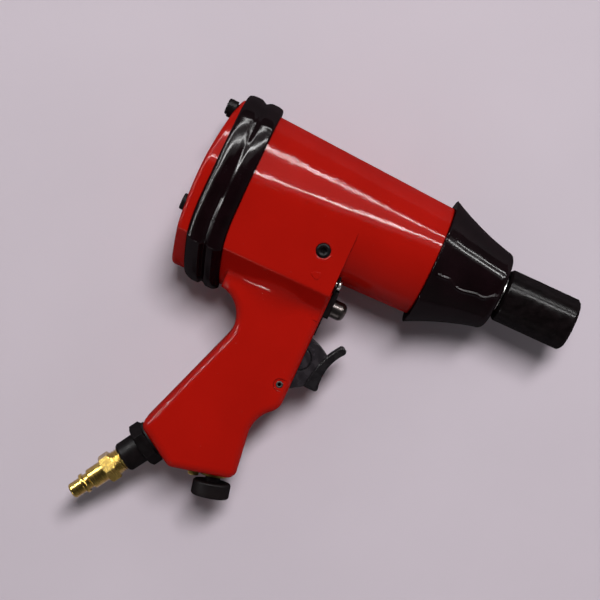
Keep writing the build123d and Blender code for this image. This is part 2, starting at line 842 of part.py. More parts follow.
with BuildPart() as front_end_plate:
    with Locations(across(motor_length)):
        Cylinder(motor_radius - fit, plate_thickness, align=to_end)
        Cylinder(bearing_radius, bearing_width, align=to_end, mode=Mode.SUBTRACT)
        Cylinder(rotor_journal + journal_play, plate_thickness, align=to_end, mode=Mode.SUBTRACT)
    with BuildSketch(across(front_plate_start)):
        with PolarLocations(dowel_orbit, 1, dowel_angle):
            Circle(dowel_radius + fit)
    extrude(amount=dowel_into_plate, mode=Mode.SUBTRACT)
    # Air port: up from the rim, then back into the cylinder
    with Locations(upwards(front_port_x, motor_radius)):
        Cylinder(way_radius, motor_radius - rotor_radius, align=from_end, mode=Mode.SUBTRACT)
    with BuildSketch(across(front_plate_start)):
        with Locations((-rotor_radius, 0)):
            Circle(way_radius)
    extrude(amount=front_port_x - front_plate_start, mode=Mode.SUBTRACT)
front_end_plate.part.label = "front_end_plate"
export_step(front_end_plate.part, "parts/front_end_plate.step")

# Motor cylinder with its bore off centre
with BuildPart() as motor_cylinder:
    with BuildSketch(across(rear_plate_end)):
        Circle(motor_radius - fit)
        with Locations((cylinder_offset, 0)):
            Circle(cylinder_bore, mode=Mode.SUBTRACT)
        with PolarLocations(dowel_orbit, 1, dowel_angle):
            Circle(dowel_radius + fit, mode=Mode.SUBTRACT)
    extrude(amount=front_plate_start - rear_plate_end)
    with Locations(upwards(rear_port_x, motor_radius)):
        Cylinder(way_radius, motor_radius - rotor_radius, align=from_end, mode=Mode.SUBTRACT)
    for out in (exhaust_way_out, -exhaust_way_out):
        with Locations(upwards(exhaust_way_x, motor_radius, out)):
            Cylinder(exhaust_way_radius, motor_radius / 2, align=from_end, mode=Mode.SUBTRACT)
motor_cylinder.part.label = "motor_cylinder"
export_step(motor_cylinder.part, "parts/motor_cylinder.step")

# Dowel that lines the cylinder up with both plates
with BuildPart() as cylinder_dowel:
    with BuildSketch(across(rear_plate_end - dowel_into_plate + fit)):
        with PolarLocations(dowel_orbit, 1, dowel_angle):
            Circle(dowel_radius)
    extrude(amount=front_plate_start - rear_plate_end + 2 * dowel_into_plate - 2 * fit)
cylinder_dowel.part.label = "cylinder_dowel"
export_step(cylinder_dowel.part, "parts/cylinder_dowel.step")

# Rotor with its vane slots, journals and hexagonal nose
with BuildPart() as rotor:
    with BuildSketch(across(rotor_start)):
        Circle(rotor_radius)
        with PolarLocations(rotor_radius, vane_count):
            Rectangle(2 * vane_height, vane_thickness + 2 * vane_play, mode=Mode.SUBTRACT)
    extrude(amount=rotor_end - rotor_start)
    with BuildSketch(across(-gasket - rotor_stub)):
        Circle(rotor_journal - fit)
    extrude(amount=cage_start - dog_play + gasket + rotor_stub)
    with BuildSketch(across(cage_start - dog_play)):
        RegularPolygon(rotor_hex / 2, 6, major_radius=False)
    extrude(amount=cage_wall + dog_play)
rotor.part.label = "rotor"
export_step(rotor.part, "parts/rotor.step")

# Vanes, drawn back into the rotor
with BuildPart() as rotor_vanes:
    with BuildSketch(across(rotor_start)):
        with PolarLocations(rotor_radius - vane_height / 2, vane_count):
            Rectangle(vane_height - 2 * vane_play, vane_thickness)
    extrude(amount=rotor_end - rotor_start)
rotor_vanes.part.label = "rotor_vanes"
export_step(rotor_vanes.part, "parts/rotor_vanes.step")

# Ball bearings at both ends of the rotor
rear_bearing_x = -gasket + bearing_width / 2
with BuildPart() as rear_bearing_outer_race:
    with Locations(across(rear_bearing_x)):
        Cylinder(bearing_radius - fit, bearing_width)
        Cylinder(ball_pitch + race_gap / 2, bearing_width, mode=Mode.SUBTRACT)
        Torus(ball_pitch, ball_radius + fit, mode=Mode.SUBTRACT)
rear_bearing_outer_race.part.label = "rear_bearing_outer_race"
export_step(rear_bearing_outer_race.part, "parts/rear_bearing_outer_race.step")

with BuildPart() as rear_bearing_inner_race:
    with Locations(across(rear_bearing_x)):
        Cylinder(ball_pitch - race_gap / 2, bearing_width)
        Cylinder(rotor_journal, bearing_width, mode=Mode.SUBTRACT)
        Torus(ball_pitch, ball_radius + loose, mode=Mode.SUBTRACT)
rear_bearing_inner_race.part.label = "rear_bearing_inner_race"
export_step(rear_bearing_inner_race.part, "parts/rear_bearing_inner_race.step")

with BuildPart() as rear_bearing_balls:
    with Locations(across(rear_bearing_x)):
        with PolarLocations(ball_pitch, ball_count):
            Sphere(ball_radius)
rear_bearing_balls.part.label = "rear_bearing_balls"
export_step(rear_bearing_balls.part, "parts/rear_bearing_balls.step")

front_bearing_x = motor_length - bearing_width / 2
with BuildPart() as front_bearing_outer_race:
    with Locations(across(front_bearing_x)):
        Cylinder(bearing_radius - fit, bearing_width)
        Cylinder(ball_pitch + race_gap / 2, bearing_width, mode=Mode.SUBTRACT)
        Torus(ball_pitch, ball_radius + fit, mode=Mode.SUBTRACT)
front_bearing_outer_race.part.label = "front_bearing_outer_race"
export_step(front_bearing_outer_race.part, "parts/front_bearing_outer_race.step")

with BuildPart() as front_bearing_inner_race:
    with Locations(across(front_bearing_x)):
        Cylinder(ball_pitch - race_gap / 2, bearing_width)
        Cylinder(rotor_journal, bearing_width, mode=Mode.SUBTRACT)
        Torus(ball_pitch, ball_radius + loose, mode=Mode.SUBTRACT)
front_bearing_inner_race.part.label = "front_bearing_inner_race"
export_step(front_bearing_inner_race.part, "parts/front_bearing_inner_race.step")

with BuildPart() as front_bearing_balls:
    with Locations(across(front_bearing_x)):
        with PolarLocations(ball_pitch, ball_count):
            Sphere(ball_radius)
front_bearing_balls.part.label = "front_bearing_balls"
export_step(front_bearing_balls.part, "parts/front_bearing_balls.step")

# Hammer cage: two end walls held apart by the webs beside its windows
pin_spots = [(hammer_pin_orbit, 0), (-hammer_pin_orbit, 0)]
with BuildPart() as hammer_cage:
    with BuildSketch(across(cage_start)):
        Circle(cage_radius)
        Circle(cage_bore, mode=Mode.SUBTRACT)
        Rectangle(2 * cage_radius, cage_window, mode=Mode.SUBTRACT)
    extrude(amount=cage_length)
    with BuildSketch(across(cage_start)):
        Circle(cage_radius)
        RegularPolygon(rotor_hex / 2 + slide_fit, 6, major_radius=False, mode=Mode.SUBTRACT)
    extrude(amount=cage_wall)
    with BuildSketch(across(cage_end)):
        Circle(cage_radius)
        Circle(anvil_core + journal_play, mode=Mode.SUBTRACT)
    extrude(amount=-cage_wall)
    with BuildSketch(across(cage_start)):
        with Locations(*pin_spots):
            Circle(hammer_pin_radius + fit)
    extrude(amount=cage_length, mode=Mode.SUBTRACT)
hammer_cage.part.label = "hammer_cage"
export_step(hammer_cage.part, "parts/hammer_cage.step")


def dog_outline(start, hand):
    """Outline of one hammer: a ring with an ear for its own pin, a notch for the other and a pad inside."""
    pad_inner = anvil_core + dog_pad_play
    with BuildSketch(across(start)) as outline:
        Circle(dog_radius)
        with Locations((hand * hammer_pin_orbit, 0)):
            Circle(ear_radius)
        with Locations((hand * hammer_pin_orbit / 2, 0)):
            Rectangle(hammer_pin_orbit, 2 * ear_radius)
        Circle(dog_bore, mode=Mode.SUBTRACT)
        with Locations((0, hand * (pad_inner + dog_radius) / 2)):
            Rectangle(dog_pad_width, dog_radius - pad_inner - 2 * dog_play)
        with Locations((hand * hammer_pin_orbit, 0)):
            Circle(hammer_pin_radius + fit, mode=Mode.SUBTRACT)
        with Locations((-hand * hammer_pin_orbit, 0)):
            Circle(hammer_pin_radius + dog_notch_play, mode=Mode.SUBTRACT)
    return outline.sketch


# Two swinging hammers, one turned half round from the other
with BuildPart() as rear_hammer:
    extrude(dog_outline(rear_dog_start, 1), amount=dog_length, dir=forwards)
rear_hammer.part.label = "rear_hammer"
export_step(rear_hammer.part, "parts/rear_hammer.step")

with BuildPart() as front_hammer:
    extrude(dog_outline(front_dog_start, -1), amount=dog_length, dir=forwards)
front_hammer.part.label = "front_hammer"
export_step(front_hammer.part, "parts/front_hammer.step")

with BuildPart() as hammer_pins:
    with BuildSketch(across(cage_start)):
        with Locations(*pin_spots):
            Circle(hammer_pin_radius)
    extrude(amount=cage_length)
hammer_pins.part.label = "hammer_pins"
export_step(hammer_pins.part, "parts/hammer_pins.step")

# Anvil: core with a lug for each hammer, thrust collar, journal and drive square with its ring groove
with BuildPart() as anvil:
    with BuildSketch(across(rear_dog_start)):
        Circle(anvil_core)
    extrude(amount=collar_start - rear_dog_start)
    for start, angle in ((rear_dog_start, lug_angle), (front_dog_start, lug_angle + 180)):
        with BuildSketch(across(start)):
            with PolarLocations(anvil_lug_radius / 2, 1, angle):
                Rectangle(anvil_lug_radius, anvil_lug_width)
        extrude(amount=dog_length)
    with BuildSketch(across(collar_start)):
        Circle(collar_radius)
    extrude(amount=collar_end - collar_start)
    with BuildSketch(across(collar_end)):
        Circle(journal_radius)
    extrude(amount=journal_end - collar_end)
    with BuildSketch(across(journal_end)):
        RectangleRounded(drive_square, drive_square, drive_round)
    extrude(amount=drive_end - journal_end)
    chamfer(faces().sort_by(Axis.X)[-1].edges(), drive_chamfer)
    with BuildSketch(across(ring_station - ring_width / 2)):
        Circle(journal_radius)
        Circle(groove_floor, mode=Mode.SUBTRACT)
    extrude(amount=ring_width, mode=Mode.SUBTRACT)
anvil.part.label = "anvil"
export_step(anvil.part, "parts/anvil.step")

# Bronze bushing that the anvil turns in
with BuildPart() as anvil_bushing:
    with BuildSketch(across(hammer_end)):
        Circle(bushing_radius - fit)
        Circle(journal_radius + running_fit, mode=Mode.SUBTRACT)
    extrude(amount=nose_end - hammer_end - bushing_sink)
anvil_bushing.part.label = "anvil_bushing"
export_step(anvil_bushing.part, "parts/anvil_bushing.step")

# Friction ring that keeps the socket on the square
with BuildPart() as socket_ring:
    with BuildSketch(across(ring_station - ring_width / 2 + fit)):
        Circle(ring_radius)
        Circle(groove_floor + fit, mode=Mode.SUBTRACT)
    extrude(amount=ring_width - 2 * fit)
socket_ring.part.label = "socket_ring"
export_step(socket_ring.part, "parts/socket_ring.step")

# Impact socket: square hole behind, hexagon in front
with BuildPart() as impact_socket:
    with BuildSketch(across(socket_start)):
        Circle(socket_radius)
    extrude(amount=socket_end - socket_start)
    chamfer(edges().sort_by(Axis.X)[0], socket_rear_chamfer)
    fillet(edges().sort_by(Axis.X)[-1], socket_front_round)
    with BuildSketch(across(socket_start)):
        Rectangle(drive_square + 2 * socket_square_play, drive_square + 2 * socket_square_play)
    extrude(amount=socket_square_depth, mode=Mode.SUBTRACT)
    with BuildSketch(across(socket_end)):
        RegularPolygon(socket_hex / 2, 6, major_radius=False)
    extrude(amount=-socket_hex_depth, mode=Mode.SUBTRACT)
    with BuildSketch(across(socket_start)):
        Circle(socket_web_bore)
    extrude(amount=socket_end - socket_start, mode=Mode.SUBTRACT)
impact_socket.part.label = "impact_socket"
export_step(impact_socket.part, "parts/impact_socket.step")

# Rubber boot over the nose: a lip behind, a hollow flank and a rounded front
with BuildPart() as nose_boot:
    with BuildSketch(side()):
        with BuildLine():
            Polyline(
                (lip_station, lip_radius),
                (lip_station, barrel_radius + lip_fit),
                (barrel_length + fit, barrel_radius + lip_fit),
                (barrel_length + fit, nose_shoulder + fit),
                (nose_middle, nose_middle_radius + fit),
                (nose_end + fit, nose_end_radius + fit),
                (nose_end + fit, boot_mouth),
                (boot_end, boot_mouth),
                (boot_end, boot_shoulder_radius - boot_round),
            )
            RadiusArc(
                (boot_end, boot_shoulder_radius - boot_round),
                (boot_shoulder, boot_shoulder_radius),
                -boot_round,
            )
            ThreePointArc(
                (boot_shoulder, boot_shoulder_radius),
                (nose_middle, boot_middle_radius),
                (lip_station, lip_radius),
            )
        make_face()
        fillet(vertices().sort_by_distance((lip_station, lip_radius))[0], lip_edge)
    revolve(axis=spindle)
nose_boot.part.label = "nose_boot"
export_step(nose_boot.part, "parts/nose_boot.step")

# Trigger: a plate that swings in the handle's slot, with a curved finger blade across its front
with BuildPart() as trigger:
    arc_start = degrees(acos(-trigger_back / trigger_reach))
    arc_turn = trigger_front_angle - arc_start
    nose_x = pivot_x + trigger_reach * cos(radians(trigger_front_angle))
    nose_y = -pivot_drop + trigger_reach * sin(radians(trigger_front_angle))
    with BuildSketch(side()):
        with BuildLine():
            top = CenterArc((pivot_x, -pivot_drop), trigger_reach, arc_start, arc_turn)
            Polyline(
                (nose_x, nose_y),
                (blade_heel_x, -blade_foot_drop),
                (pivot_x, -pivot_drop - trigger_eye),
                (pivot_x - trigger_back, -pivot_drop),
                top @ 0,
            )
        make_face()
        with Locations((pivot_x, -pivot_drop)):
            Circle(trigger_eye)
    extrude(amount=trigger_core_half, both=True)
    # Finger blade
    with BuildSketch(side()):
        with BuildLine():
            front_top = (blade_tip_x + blade_tip_radius * cos(radians(blade_tip_turn)),
                         -blade_tip_drop - blade_tip_radius * sin(radians(blade_tip_turn)))
            back_top = (blade_tip_x - blade_tip_radius * cos(radians(blade_tip_turn)),
                        -blade_tip_drop + blade_tip_radius * sin(radians(blade_tip_turn)))
            tip = (blade_tip_x + blade_tip_radius * sin(radians(blade_tip_turn)),
                   -blade_tip_drop + blade_tip_radius * cos(radians(blade_tip_turn)))
            ThreePointArc(back_top, tip, front_top)
            SagittaArc(front_top, (blade_foot_x, -blade_foot_drop), -blade_front_sag)
            Line((blade_foot_x, -blade_foot_drop), (blade_heel_x, -blade_foot_drop))
            SagittaArc((blade_heel_x, -blade_foot_drop), back_top, blade_back_sag)
        make_face()
        fillet(vertices().sort_by_distance((blade_foot_x, -blade_foot_drop))[0], blade_foot_round)
    extrude(amount=blade_half, both=True)
    with BuildSketch(side()):
        with Locations((pivot_x, -pivot_drop)):
            Circle(pivot_pin_radius + running_fit)
    extrude(amount=blade_half, both=True, mode=Mode.SUBTRACT)
    # Round groove in both side faces
    for out in (trigger_core_half - trigger_groove_depth, -trigger_core_half):
        with BuildSketch(side(out)):
            with Locations((trigger_boss_x, -trigger_boss_drop)):
                Circle(trigger_boss_radius)
                Circle(trigger_boss_radius - trigger_groove, mode=Mode.SUBTRACT)
        extrude(amount=trigger_groove_depth, mode=Mode.SUBTRACT)
trigger.part.label = "trigger"
export_step(trigger.part, "parts/trigger.step")

with BuildPart() as trigger_pin:
    with BuildSketch(side()):
        with Locations((pivot_x, -pivot_drop)):
            Circle(pivot_pin_radius)
    extrude(amount=grip_half - pivot_recess_depth, both=True)
trigger_pin.part.label = "trigger_pin"
export_step(trigger_pin.part, "parts/trigger_pin.step")

# Throttle: a valve pushed back off its seat by the trigger, and the spring that shuts it
stem_tip = pivot_x - trigger_back - stem_gap
head_front = seat_rear - valve_gap
head_rear = head_front - valve_thickness
with BuildPart() as throttle_valve:
    with BuildSketch(across(head_rear)):
        with Locations((-throttle_drop, 0)):
            Circle(valve_radius)
    extrude(amount=valve_thickness)
    with BuildSketch(across(head_front)):
        with Locations((-throttle_drop, 0)):
            Circle(stem_radius)
    extrude(amount=stem_tip - head_front)
    fillet(edges().sort_by(Axis.X)[-1], stem_radius - fit)
    with BuildSketch(across(head_rear)):
        with Locations((-throttle_drop, 0)):
            Circle(valve_guide_radius)
    extrude(amount=-valve_guide)
throttle_valve.part.label = "throttle_valve"
export_step(throttle_valve.part, "parts/throttle_valve.step")

with BuildPart() as throttle_seat:
    with BuildSketch(across(seat_rear)):
        with Locations((-throttle_drop, 0)):
            Circle(chamber_radius - fit)
            Circle(stem_radius + running_fit, mode=Mode.SUBTRACT)
    extrude(amount=seat_length)
    with BuildSketch(across(seat_rear)):
        with Locations((-throttle_drop, 0)):
            Circle(seat_bore)
    extrude(amount=seat_length - throttle_guide, mode=Mode.SUBTRACT)
    with Locations(upwards(supply_x, throttle_drop)):
        Cylinder(way_radius, chamber_radius, align=from_end, mode=Mode.SUBTRACT)
throttle_seat.part.label = "throttle_seat"
export_step(throttle_seat.part, "parts/throttle_seat.step")

# Spring: one round wire wound from the chamber's end wall to the valve's head
spring_start = chamber_rear + spring_wire + fit
spring_length = head_rear - spring_wire - fit - spring_start
spring_pitch = spring_length / spring_turns
with BuildPart() as throttle_spring:
    with BuildLine():
        coil = Helix(
            spring_pitch,
            spring_length,
            spring_radius,
            center=spot(spring_start, throttle_drop),
            direction=forwards,
        )
    with BuildSketch(Plane(origin=coil @ 0, z_dir=coil % 0)):
        Circle(spring_wire)
    sweep()
print("gap between the spring's turns", round(spring_pitch - 2 * spring_wire, 2), "mm")
throttle_spring.part.label = "throttle_spring"
export_step(throttle_spring.part, "parts/throttle_spring.step")

# Reverse valve: a push pin with a grooved spool behind it
with BuildPart() as reverse_valve:
    with BuildSketch(across(reverse_rear)):
        with Locations((-reverse_drop, 0)):
            Circle(reverse_radius)
    extrude(amount=reverse_front - reverse_rear)
    fillet(edges().sort_by(Axis.X)[-1], reverse_dome)
    with BuildSketch(across(groove_rear)):
        with Locations((-reverse_drop, 0)):
            Circle(2 * reverse_radius)
            Circle(reverse_groove_radius, mode=Mode.SUBTRACT)
    extrude(amount=groove_front - groove_rear, mode=Mode.SUBTRACT)
reverse_valve.part.label = "reverse_valve"
export_step(reverse_valve.part, "parts/reverse_valve.step")

# Plate on the handle's front: a thin sheet hollowed round the barrel, with a thick block round the pin
shoulder_height = plate_shoulder_drop - plate_top_drop
tail_height = plate_bottom_drop - plate_shoulder_drop
with BuildPart() as valve_plate:
    with BuildSketch(across(grip_front)):
        with Locations((-(plate_top_drop + plate_shoulder_drop) / 2, 0)):
            Rectangle(shoulder_height, 2 * plate_shoulder_half)
        with Locations((-(plate_shoulder_drop + plate_bottom_drop) / 2, 0)):
            Rectangle(tail_height, 2 * plate_half)
        fillet(vertices().group_by(Axis.X)[0], plate_corner)
        Circle(half_width(block_length) + plate_barrel_gap, mode=Mode.SUBTRACT)
    extrude(amount=plate_thin)
    with BuildSketch(across(grip_front)):
        with Locations((-(plate_block_top + plate_block_bottom) / 2, 0)):
            RectangleRounded(plate_block_bottom - plate_block_top, 2 * plate_half, plate_corner)
    extrude(amount=plate_thick)
    with BuildSketch(across(grip_front)):
        with Locations((-reverse_drop, 0)):
            Circle(reverse_radius + loose)
        with Locations(*plate_spots):
            Circle(plate_screw_radius + fit)
    extrude(amount=plate_thick, mode=Mode.SUBTRACT)
valve_plate.part.label = "valve_plate"
export_step(valve_plate.part, "parts/valve_plate.step")

# Pan-head screws of the plate
with BuildPart() as plate_screws:
    with BuildSketch(across(grip_front + plate_thin)):
        with Locations(*plate_spots):
            Circle(plate_screw_head_radius)
    extrude(amount=plate_screw_head)
    fillet(edges().group_by(Axis.X)[-1], plate_screw_head / 2)
    with BuildSketch(across(grip_front + plate_thin)):
        with Locations(*plate_spots):
            Circle(plate_screw_radius)
    extrude(amount=-plate_screw_length)
plate_screws.part.label = "plate_screws"
export_step(plate_screws.part, "parts/plate_screws.step")

# Oil plug with a hexagonal socket, just below the side face
with BuildPart() as oil_plug:
    with BuildSketch(side(oil_face - oil_sink - oil_plug_length)):
        with Locations((oil_x, -oil_drop)):
            Circle(oil_plug_radius)
    extrude(amount=oil_plug_length)
    with BuildSketch(side(oil_face - oil_sink)):
        with Locations((oil_x, -oil_drop)):
            RegularPolygon(oil_hex / 2, 6, major_radius=False)
    extrude(amount=-oil_hex_depth, mode=Mode.SUBTRACT)
oil_plug.part.label = "oil_plug"
export_step(oil_plug.part, "parts/oil_plug.step")

# Power regulator: a knob on a stem that turns in a threaded bush
with BuildPart() as regulator_knob:
    with BuildSketch(at_base(regulator_x, knob_start)):
        Circle(knob_radius)
    extrude(amount=knob_height)
    chamfer(edges().filter_by(GeomType.CIRCLE), knob_chamfer)
    with BuildSketch(at_base(regulator_x, knob_start)):
        Circle(regulator_stem_radius + fit)
    extrude(amount=knob_socket, mode=Mode.SUBTRACT)
regulator_knob.part.label = "regulator_knob"
export_step(regulator_knob.part, "parts/regulator_knob.step")

with BuildPart() as regulator_stem:
    with BuildSketch(at_base(regulator_x, loose - regulator_stem_depth)):
        Circle(regulator_stem_radius)
    extrude(amount=regulator_stem_depth - loose + knob_start + knob_socket - fit)
regulator_stem.part.label = "regulator_stem"
export_step(regulator_stem.part, "parts/regulator_stem.step")

with BuildPart() as regulator_bush:
    with BuildSketch(at_base(regulator_x, -regulator_bush_depth)):
        Circle(regulator_bush_radius - fit)
        Circle(regulator_stem_radius + running_fit, mode=Mode.SUBTRACT)
    extrude(amount=regulator_bush_depth + regulator_bush_proud)
regulator_bush.part.label = "regulator_bush"
export_step(regulator_bush.part, "parts/regulator_bush.step")

# Small brass plug that shuts a drilling in the base
with BuildPart() as passage_plug:
    with BuildSketch(at_base(brass_x, -brass_depth)):
        Circle(brass_radius)
    extrude(amount=brass_depth + brass_proud)
    fillet(edges().filter_by(GeomType.CIRCLE).sort_by(Axis.Y)[0], brass_round)
passage_plug.part.label = "passage_plug"
export_step(passage_plug.part, "parts/passage_plug.step")

# Air inlet: washer, hexagonal bushing and the screen behind it
with BuildPart() as inlet_washer:
    with BuildSketch(at_inlet(0)):
        Circle(washer_radius)
        Circle(inlet_thread_radius + fit, mode=Mode.SUBTRACT)
    extrude(amount=washer_thickness)
inlet_washer.part.label = "inlet_washer"
export_step(inlet_washer.part, "parts/inlet_washer.step")

with BuildPart() as inlet_bushing:
    with BuildSketch(at_inlet(washer_thickness)):
        RegularPolygon(inlet_hex / 2, 6, major_radius=False)
    extrude(amount=inlet_hex_end - washer_thickness)
    with BuildSketch(at_inlet(-inlet_thread)):
        Circle(inlet_thread_radius)
    extrude(amount=inlet_thread + washer_thickness)
    with BuildSketch(at_inlet(inlet_hex_end)):
        Circle(inlet_body_radius)
    extrude(amount=inlet_end - inlet_hex_end)
    inlet_rim = edges().filter_by(GeomType.CIRCLE).sort_by_distance(at_inlet(inlet_end).origin)[0]
    chamfer(inlet_rim, inlet_chamfer)
    with BuildSketch(at_inlet(inlet_end)):
        Circle(coupler_neck_radius + fit)
    extrude(amount=coupler_start - inlet_end, mode=Mode.SUBTRACT)
    with BuildSketch(at_inlet(inlet_end)):
        Circle(inlet_waterway)
    extrude(amount=-inlet_end - inlet_thread, mode=Mode.SUBTRACT)
inlet_bushing.part.label = "inlet_bushing"
export_step(inlet_bushing.part, "parts/inlet_bushing.step")

with BuildPart() as inlet_screen:
    with BuildSketch(at_inlet(-inlet_thread)):
        Circle(screen_radius)
    extrude(amount=-screen_length + loose)
    with BuildSketch(at_inlet(-inlet_thread)):
        Circle(screen_radius - screen_wall)
    extrude(amount=screen_wall - screen_length + loose, mode=Mode.SUBTRACT)
    with BuildSketch(at_inlet(-inlet_thread - 2 * screen_wall)):
        Rectangle(2 * washer_radius, screen_wall)
        Rectangle(screen_wall, 2 * washer_radius)
    extrude(amount=4 * screen_wall - screen_length, mode=Mode.SUBTRACT)
inlet_screen.part.label = "inlet_screen"
export_step(inlet_screen.part, "parts/inlet_screen.step")

# Quick-connect plug screwed into the bushing
with BuildPart() as air_plug:
    with BuildSketch(at_inlet(coupler_start)):
        Circle(coupler_neck_radius)
    extrude(amount=coupler_hex_start - coupler_start)
    with BuildSketch(at_inlet(coupler_hex_start)):
        RegularPolygon(coupler_hex / 2, 6, major_radius=False)
    extrude(amount=coupler_hex_end - coupler_hex_start)
    with BuildSketch(at_inlet(coupler_hex_end)):
        Circle(coupler_sleeve_radius)
    extrude(amount=coupler_sleeve_end - coupler_hex_end)
    with BuildSketch(at_inlet(coupler_sleeve_end)):
        Circle(coupler_neck)
    extrude(amount=coupler_ring_start - coupler_sleeve_end)
    with BuildSketch(at_inlet(coupler_ring_start)):
        Circle(coupler_sleeve_radius)
    extrude(amount=coupler_ring_end - coupler_ring_start)
    with BuildSketch(at_inlet(coupler_ring_end)):
        Circle(coupler_tip_radius)
    extrude(amount=coupler_end - coupler_ring_end)
    plug_rim = edges().filter_by(GeomType.CIRCLE).sort_by_distance(at_inlet(coupler_end).origin)[0]
    chamfer(plug_rim, coupler_chamfer)
    with BuildSketch(at_inlet(coupler_start)):
        Circle(coupler_bore)
    extrude(amount=coupler_end - coupler_start, mode=Mode.SUBTRACT)
air_plug.part.label = "air_plug"
export_step(air_plug.part, "parts/air_plug.step")

# Porous silencer in the exhaust slot
silencer_front = foot_front_x - exhaust_height * tan(flare) - silencer_sink
with BuildPart() as exhaust_silencer:
    with BuildSketch(across(foot_front_x - exhaust_depth)):
        with Locations((-exhaust_drop, 0)):
            Rectangle(exhaust_height - 2 * fit, exhaust_width - 2 * fit)
    extrude(amount=silencer_front - foot_front_x + exhaust_depth)
exhaust_silencer.part.label = "exhaust_silencer"
export_step(exhaust_silencer.part, "parts/exhaust_silencer.step")
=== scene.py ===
import json
from math import pi, radians, sin, tan

import bpy
import numpy as np
from bpy.props import FloatProperty, FloatVectorProperty, IntProperty, PointerProperty
from bpy.types import Operator, Panel, PropertyGroup
from mathutils import Matrix, Vector


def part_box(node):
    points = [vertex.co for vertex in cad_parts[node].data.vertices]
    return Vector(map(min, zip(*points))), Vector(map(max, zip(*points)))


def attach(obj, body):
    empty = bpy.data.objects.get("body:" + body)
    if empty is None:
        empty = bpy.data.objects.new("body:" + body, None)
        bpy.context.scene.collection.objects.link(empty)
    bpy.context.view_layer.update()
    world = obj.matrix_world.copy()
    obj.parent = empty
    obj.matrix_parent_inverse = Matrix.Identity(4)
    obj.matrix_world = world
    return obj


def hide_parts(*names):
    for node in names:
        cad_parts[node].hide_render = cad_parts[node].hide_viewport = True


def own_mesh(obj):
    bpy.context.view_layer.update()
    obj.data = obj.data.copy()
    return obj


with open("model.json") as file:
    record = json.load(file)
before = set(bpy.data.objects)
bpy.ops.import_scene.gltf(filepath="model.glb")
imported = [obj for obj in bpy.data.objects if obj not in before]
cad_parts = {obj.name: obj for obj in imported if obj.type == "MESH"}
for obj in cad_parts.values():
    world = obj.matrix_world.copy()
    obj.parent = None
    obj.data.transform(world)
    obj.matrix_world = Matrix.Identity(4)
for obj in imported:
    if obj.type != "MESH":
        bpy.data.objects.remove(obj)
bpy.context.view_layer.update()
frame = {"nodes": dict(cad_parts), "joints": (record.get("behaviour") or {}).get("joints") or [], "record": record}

bl_info = {
    "name": "Air impact wrench",
    "version": (1, 0, 0),
    "blender": (4, 5, 0),
    "location": "View3D > Sidebar > Impact wrench",
    "description": "Dresses an air impact wrench and sets it on a plain pale floor",
    "category": "Object",
}

mounts = {row["name"]: row for row in frame["record"]["mounts"]}
joints = {row["name"]: row for row in frame["joints"]}
spindle_height = mounts["drive_square"]["pos_m"][2]
spindle_origin = (0.0, 0.0, spindle_height)
forwards = (1.0, 0.0, 0.0)
MM = 0.001

# Camera and lamps in metres
picture_up = Vector((-0.4179, 0.9085, 0.0))
camera_place = Vector((0.0302, -0.012, 0.9357))
camera_aim = Vector((0.0532, -0.0466, 0.0357))
lamp_height = 3.0
lamp_middle = Vector((0.06, -0.03, 0.0))

# The casting in millimetres: stations run forwards from the joint of housing and cover, and drops run down
origin_station = 3.8
crease_drop = 37.8
block_half = 32.4253
block_taper = 0.02456
handle_half = 17.0
handle_station = 16.8
skirt_turn = radians(54.0)


def tint(name, description, colour):
    """A colour property with three linear parts."""
    return FloatVectorProperty(
        name=name, description=description, subtype="COLOR", size=3, min=0.0, max=1.0, default=colour
    )


def length(name, description, metres):
    """A length property in metres."""
    return FloatProperty(
        name=name, description=description, subtype="DISTANCE", unit="LENGTH", precision=5, default=metres
    )


def level(name, description, value):
    """A plain number property."""
    return FloatProperty(name=name, description=description, default=value)


class WrenchFinishes(PropertyGroup):
    """Colours and grain of the finishes."""

    enamel: tint("Enamel", "Red of the painted castings", (0.345, 0.006, 0.003))
    enamel_peel: length("Enamel ripple", "Size of the ripple in the paint", 1.7 * MM)
    rubber: tint("Rubber", "Black of the bumper and the boot", (0.0034, 0.0011, 0.0016))
    dark_steel: tint("Dark steel", "Oxide black of the socket and the inlet", (0.003, 0.002, 0.0022))
    grey_casting: tint("Grey casting", "Grey of the trigger", (0.019, 0.0155, 0.0185))
    moulding: tint("Moulding", "Dark grey of the knob and the plate", (0.005, 0.003, 0.0033))
    brass: tint("Brass", "Yellow of the air plug", (0.4, 0.28, 0.075))
    steel: tint("Steel", "Bright ground steel", (0.4, 0.39, 0.38))


class WrenchSizes(PropertyGroup):
    """Sizes of the turned and moulded details."""

    thread_pitch: length("Thread pitch", "Distance between the turns of the air plug's thread", 1.34 * MM)
    thread_depth: length("Thread depth", "Depth of the air plug's thread", 0.5 * MM)
    boot_ripple: length("Boot ripple", "Height of the uneven places in the rubber boot", 0.05 * MM)
    seam_height: length("Boot seam", "Height of the moulding seam along the boot", 0.85 * MM)
    knurl_depth: length("Knurl depth", "Depth of the ribs round the cover screws' heads", 0.13 * MM)
    knurl_count: IntProperty(name="Knurl count", description="Ribs round a cover screw's head", default=36)
    mark_height: length("Oil mark relief", "How far the oil drop mark stands out of the side", 0.35 * MM)


class WrenchStage(PropertyGroup):
    """Floor, light and camera."""

    floor: tint("Floor", "Pale colour of the floor", (0.545, 0.478, 0.533))
    key_level: level("Key lamp", "Brightness of the wide lamp that lights the floor", 42.5)
    row_level: level("Lamp rows", "Brightness of the two long rows that show as bright lines", 84.0)
    ceiling_level: level("Ceiling", "Brightness of the ceiling between the rows, as gloss shows it", 1.2)
    side_level: level("Side strip", "Brightness of the strip that shows in the hollow of the neck", 64.0)
    room_level: level("Room", "Brightness of the soft light all round", 0.17)
    focal_length: level("Focal length", "Camera lens in millimetres on a 36 mm frame", 103.9)


